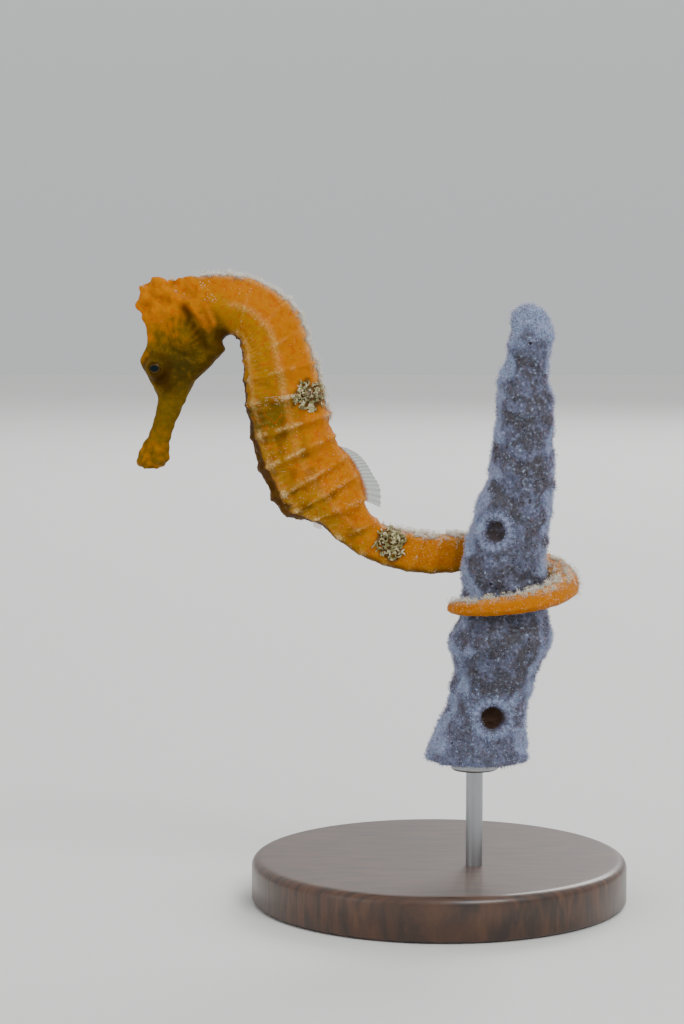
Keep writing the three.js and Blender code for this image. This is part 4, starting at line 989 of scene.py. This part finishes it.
def worm_tubes(name, centre, half, count, draw):
    """Short curled tubes lying on the skin near one place: each runs along the skin in a bending line, lifts
    in its middle, and is a ring of corners at each step, closed at both ends."""
    weight = np.where((normal[..., 1] < -0.2) & (side_far(*centre, *half) < 1), 1.0, 0.0)
    row, column = scatter(draw, skin, weight, count)
    root, out = sample(skin, row, column), unit(sample(normal, row, column))
    first = unit(np.cross(out, draw.normal(size=(count, 3))))
    second = np.cross(out, first)
    along = np.linspace(0, 1, TUBE_STEPS)[None]
    length, bend = draw.uniform(*TUBE_LENGTH, (count, 1)), draw.uniform(-TUBE_BEND, TUBE_BEND, (count, 1))
    heading = bend * along
    forward = np.cumsum(np.cos(heading), axis=1) * length / TUBE_STEPS
    aside = np.cumsum(np.sin(heading), axis=1) * length / TUBE_STEPS
    height = 0.05 + draw.uniform(*TUBE_LIFT, (count, 1)) * np.sin(np.pi * along)
    middle = root[:, None] + forward[..., None] * first[:, None] + aside[..., None] * second[:, None]
    middle = middle + height[..., None] * out[:, None]
    ahead = unit(np.gradient(middle, axis=1))
    across = unit(np.cross(ahead, out[:, None]))
    above = np.cross(across, ahead)
    spin = np.linspace(0, 2 * np.pi, TUBE_SIDES, endpoint=False)
    width = draw.uniform(*TUBE_HALF, (count, 1)) * (0.75 + 0.25 * np.sin(np.pi * along))
    ring = np.cos(spin)[:, None] * across[:, :, None] + np.sin(spin)[:, None] * above[:, :, None]
    points = (middle[:, :, None] + ring * width[..., None, None]).reshape(-1, 3)
    start = (np.arange(count) * TUBE_STEPS * TUBE_SIDES)[:, None, None]
    rung = start + (np.arange(TUBE_STEPS - 1) * TUBE_SIDES)[None, :, None]
    low, over = rung + np.arange(TUBE_SIDES), rung + (np.arange(TUBE_SIDES) + 1) % TUBE_SIDES
    quads = np.stack([low, over, over + TUBE_SIDES, low + TUBE_SIDES], axis=-1).reshape(-1, 4)
    ends = np.concatenate([start[:, 0] + np.arange(TUBE_SIDES)[::-1],
                           start[:, 0] + (TUBE_STEPS - 1) * TUBE_SIDES + np.arange(TUBE_SIDES)])
    root_uv = grid_place(skin, row, column)[:, None, None]
    patch = np.stack(np.broadcast_arrays(along[0][:, None] - 0.5, np.sin(spin)[None] / 2), axis=-1) * PATCH
    place = (root_uv + patch).reshape(-1, 2)
    made = mesh_piece(name, points, [quads, ends], chalk, [place[quads], place[ends]])
    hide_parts("trunk_lower")


draw = np.random.default_rng(61)
for name, (centre, half) in zip(("worm_crust_trunk", "worm_crust_tail"), CRUSTS):
    worm_tubes(name, centre, half, TUBES_EACH, draw)

sand = grain_material("sand_and_shell_grains", hexed("#B9A46C"), hexed("#F2EDDC"))
caught = frosted * clear_eye
band = hill(ring_at - 5, 0.13) * step(-0.75, -0.5, cos_turn) * step(0.2, 0.6, 0.5 + lumps(skin, 1.0, 38))
resting = mask_speck * (0.04 + step(0.2, 1.2, lumps(skin, 1.2, 62))) * (0.12 + 1.6 * ring_crest + 2.2 * ring_knob)
resting = (resting + 0.01) * (1 - 0.95 * on_head) + 1.5 * band
shoulder_grit = (hill(np.hypot(skin[..., 0] + 42.6, skin[..., 2] - 111.6), 0.8)
                 + 0.4 * hill(np.hypot(skin[..., 0] + 41.0, skin[..., 2] - 109.2), 1.1)) * (skin[..., 1] < 0)
# name, where, how many, and least and most size and height in millimetres
for name, weight, count, sizes, heights in (
    ("sand_in_fuzz", caught, 6000, (0.04, 0.11), (0.05, 0.95)),
    ("sand_on_skin", resting * clear_eye, 5000, (0.03, 0.075), (0.0, 0.04)),
    ("sand_on_shoulder", shoulder_grit, 40, (0.05, 0.11), (-0.02, 0.05)),
):
    grains = grain_piece(name, draw, skin, normal, weight, count, sizes, heights, sand)
    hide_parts("trunk_upper")

# ---- The stand ----
# A turned disc of dark stained hardwood carries a drawn steel rod with a collar that the sponge sits on.
# The rod is glued into both.

BASE_RADIUS, BASE_HEIGHT, BASE_ROUND = 34.0, 8.0, 1.6
ROD_X, ROD_RADIUS, COLLAR_RADIUS, COLLAR_HEIGHT = 6.0, 1.5, 4.2, 1.6
ROD_FOOT, COLLAR_TOP = 3.0, 26.9


def turned_piece(name, profile, x, y, material, columns):
    """A lathe-turned solid: a profile of radius and height carried round a vertical axis."""
    profile = np.array(profile, float)
    spin = np.linspace(0, 2 * np.pi, columns, endpoint=False)
    points = np.stack(
        [
            x + profile[:, 0, None] * np.cos(spin), y + profile[:, 0, None] * np.sin(spin),
            np.repeat(profile[:, 1, None], columns, axis=1),
        ],
        axis=-1,
    )
    return tube_piece(name, points, material)


def rounded(radius, height, corner, bands=8):
    """A quarter round at a disc's top edge, from its side up to its face."""
    bend = np.linspace(0, np.pi / 2, bands)
    return list(zip(radius - corner + corner * np.cos(bend), height - corner + corner * np.sin(bend)))


# Dark stained walnut under satin lacquer: the grain shows as narrow darker lines under a soft gloss.
GROWTH_MM = 9
stained_walnut, tree, shader = new_material("stained_walnut_lacquer")
turned = node(tree, "Mapping", {"Vector": node(tree, "TexCoord").outputs["Object"], "Scale": (1.0, 9.0, 1.0)})
growth = node(tree, "TexNoise", {"Vector": turned, "Scale": 1 / (GROWTH_MM * MM), "Detail": 6.0, "Roughness": 0.6,
                                 "Distortion": 0.4})
grain_line = node(tree, "MapRange", {0: growth, 1: 0.35, 2: 0.65})
wood = node(tree, "Mix", {0: grain_line, 6: hexed("#2A1A10"), 7: hexed("#54341F")})
node(tree, shader, {"Base Color": wood, "Roughness": 0.42, "Coat Weight": 0.35, "Coat Roughness": 0.18})
# Its profile: a small chamfer under the edge, the side, the rounded top edge and the face.
disc = [(0.5, 0.0), (BASE_RADIUS - 1.2, 0.0), (BASE_RADIUS - 0.6, 0.15), (BASE_RADIUS, 0.7)]
disc += rounded(BASE_RADIUS, BASE_HEIGHT, BASE_ROUND) + [(BASE_RADIUS - 2.4, BASE_HEIGHT), (0.5, BASE_HEIGHT)]
base = turned_piece("display_base", disc, 0, 0, stained_walnut, 192)
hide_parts("stand_base")

# Drawn stainless steel: bright and slightly streaked along its length.
STREAK_MM = 0.25
drawn_steel, tree, shader = new_material("drawn_stainless_steel")
drawn = node(tree, "Mapping", {"Vector": node(tree, "TexCoord").outputs["Object"], "Scale": (1.0, 1.0, 0.05)})
streak = node(tree, "TexNoise", {"Vector": drawn, "Scale": 1 / (STREAK_MM * MM), "Detail": 2.0})
dull = node(tree, "MapRange", {0: streak, 3: 0.3, 4: 0.46})
node(tree, shader, {"Base Color": hexed("#A4A6A9"), "Metallic": 1.0, "Roughness": dull})
under = COLLAR_TOP - COLLAR_HEIGHT
# Its profile: a chamfered foot, the shaft, the collar and the shaft's top, which is hidden in the sponge.
post = [
    (0.05, ROD_FOOT), (ROD_RADIUS - 0.05, ROD_FOOT), (ROD_RADIUS, ROD_FOOT + 0.05), (ROD_RADIUS, ROD_FOOT + 0.3),
    (ROD_RADIUS, under - 0.3), (ROD_RADIUS, under - 0.05), (ROD_RADIUS + 0.05, under), (ROD_RADIUS + 0.3, under),
    (COLLAR_RADIUS - 0.5, under), (COLLAR_RADIUS - 0.25, under), (COLLAR_RADIUS, under + 0.25),
    (COLLAR_RADIUS, under + 0.45), *rounded(COLLAR_RADIUS, COLLAR_TOP, 0.25, 5),
    (COLLAR_RADIUS - 0.5, COLLAR_TOP), (ROD_RADIUS + 0.2, COLLAR_TOP), (ROD_RADIUS, COLLAR_TOP + 0.1),
    (ROD_RADIUS, COLLAR_TOP + 0.4), (ROD_RADIUS, COLLAR_TOP + 6.9), (0.05, COLLAR_TOP + 7.2),
]
rod = turned_piece("display_rod", post, ROD_X, PERCH_Y, drawn_steel, 64)
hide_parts("stand_rod")

# ---- The studio ----
# A plain pale floor under soft boxes: a large one from above and the front, a weaker one from the left, and one
# from behind that lights the fuzz along the back.

# Matt pale board: an even light grey with no gloss.
studio_floor, tree, shader = new_material("studio_floor")
node(tree, shader, {"Base Color": hexed("#DCDDDB"), "Roughness": 0.85})
FLOOR_HALF = 4.0
floor_mesh = bpy.data.meshes.new("studio_floor")
corners = [(x * FLOOR_HALF, y * FLOOR_HALF, 0) for x, y in ((-1, -1), (1, -1), (1, 1), (-1, 1))]
floor_mesh.from_pydata(corners, [], [(0, 1, 2, 3)])
floor_mesh.materials.append(studio_floor)
floor = bpy.data.objects.new("studio_floor", floor_mesh)
bpy.context.scene.collection.objects.link(floor)

# The room is an even pale grey that is a little lighter overhead, so the floor runs into it with no hard edge.
world = bpy.data.worlds.new("studio")
world.use_nodes = True
room = world.node_tree
height = node(room, "SeparateXYZ", {0: node(room, "TexCoord").outputs["Generated"]}).outputs[2]
lift = node(room, "MapRange", {0: height, 1: 0.0, 2: 0.5}, interpolation_type="SMOOTHSTEP")
grey = node(room, "Mix", {0: lift, 6: hexed("#DADCDD"), 7: hexed("#FFFFFF")})
node(room, room.nodes["Background"], {"Color": grey, "Strength": 0.85})
bpy.context.scene.world = world

# name, place, aim, side of the box in metres, watts
SOFT_BOXES = [
    ("key", (0.9, -1.5, 1.9), (-0.01, 0, 0.07), 1.1, 34.0),
    ("fill", (-1.9, -1.2, 0.6), (-0.02, 0, 0.07), 1.5, 6.0),
    ("back", (0.7, 1.6, 1.3), (-0.02, 0, 0.08), 1.0, 24.0),
]
for name, spot, aim, size, watts in SOFT_BOXES:
    lamp = bpy.data.lights.new(name, "AREA")
    lamp.shape, lamp.size, lamp.energy = "SQUARE", size, watts
    held = bpy.data.objects.new(name, lamp)
    held.location = spot
    held.rotation_mode = "QUATERNION"
    held.rotation_quaternion = (Vector(aim) - Vector(spot)).to_track_quat("-Z", "Y")
    bpy.context.scene.collection.objects.link(held)

# ---- The camera ----
# A long lens stands less than half a metre off the animal's left side and a little above its middle, and looks
# down at that middle by a few degrees, with no turn to either side.

CAMERA_AIM = np.array([-17.6, 0.0, 70.6]) * MM
CAMERA_DISTANCE, CAMERA_RISE = 0.45, np.radians(4.5)
camera_data = bpy.data.cameras.new("camera")
camera_data.lens, camera_data.sensor_width = 87.9, 36.0
camera_data.clip_start = 0.01
camera = bpy.data.objects.new("camera", camera_data)
camera.location = CAMERA_AIM + CAMERA_DISTANCE * np.array([0, -np.cos(CAMERA_RISE), np.sin(CAMERA_RISE)])
camera.rotation_euler = (np.pi / 2 - CAMERA_RISE, 0, 0)
bpy.context.scene.collection.objects.link(camera)
bpy.context.scene.camera = camera
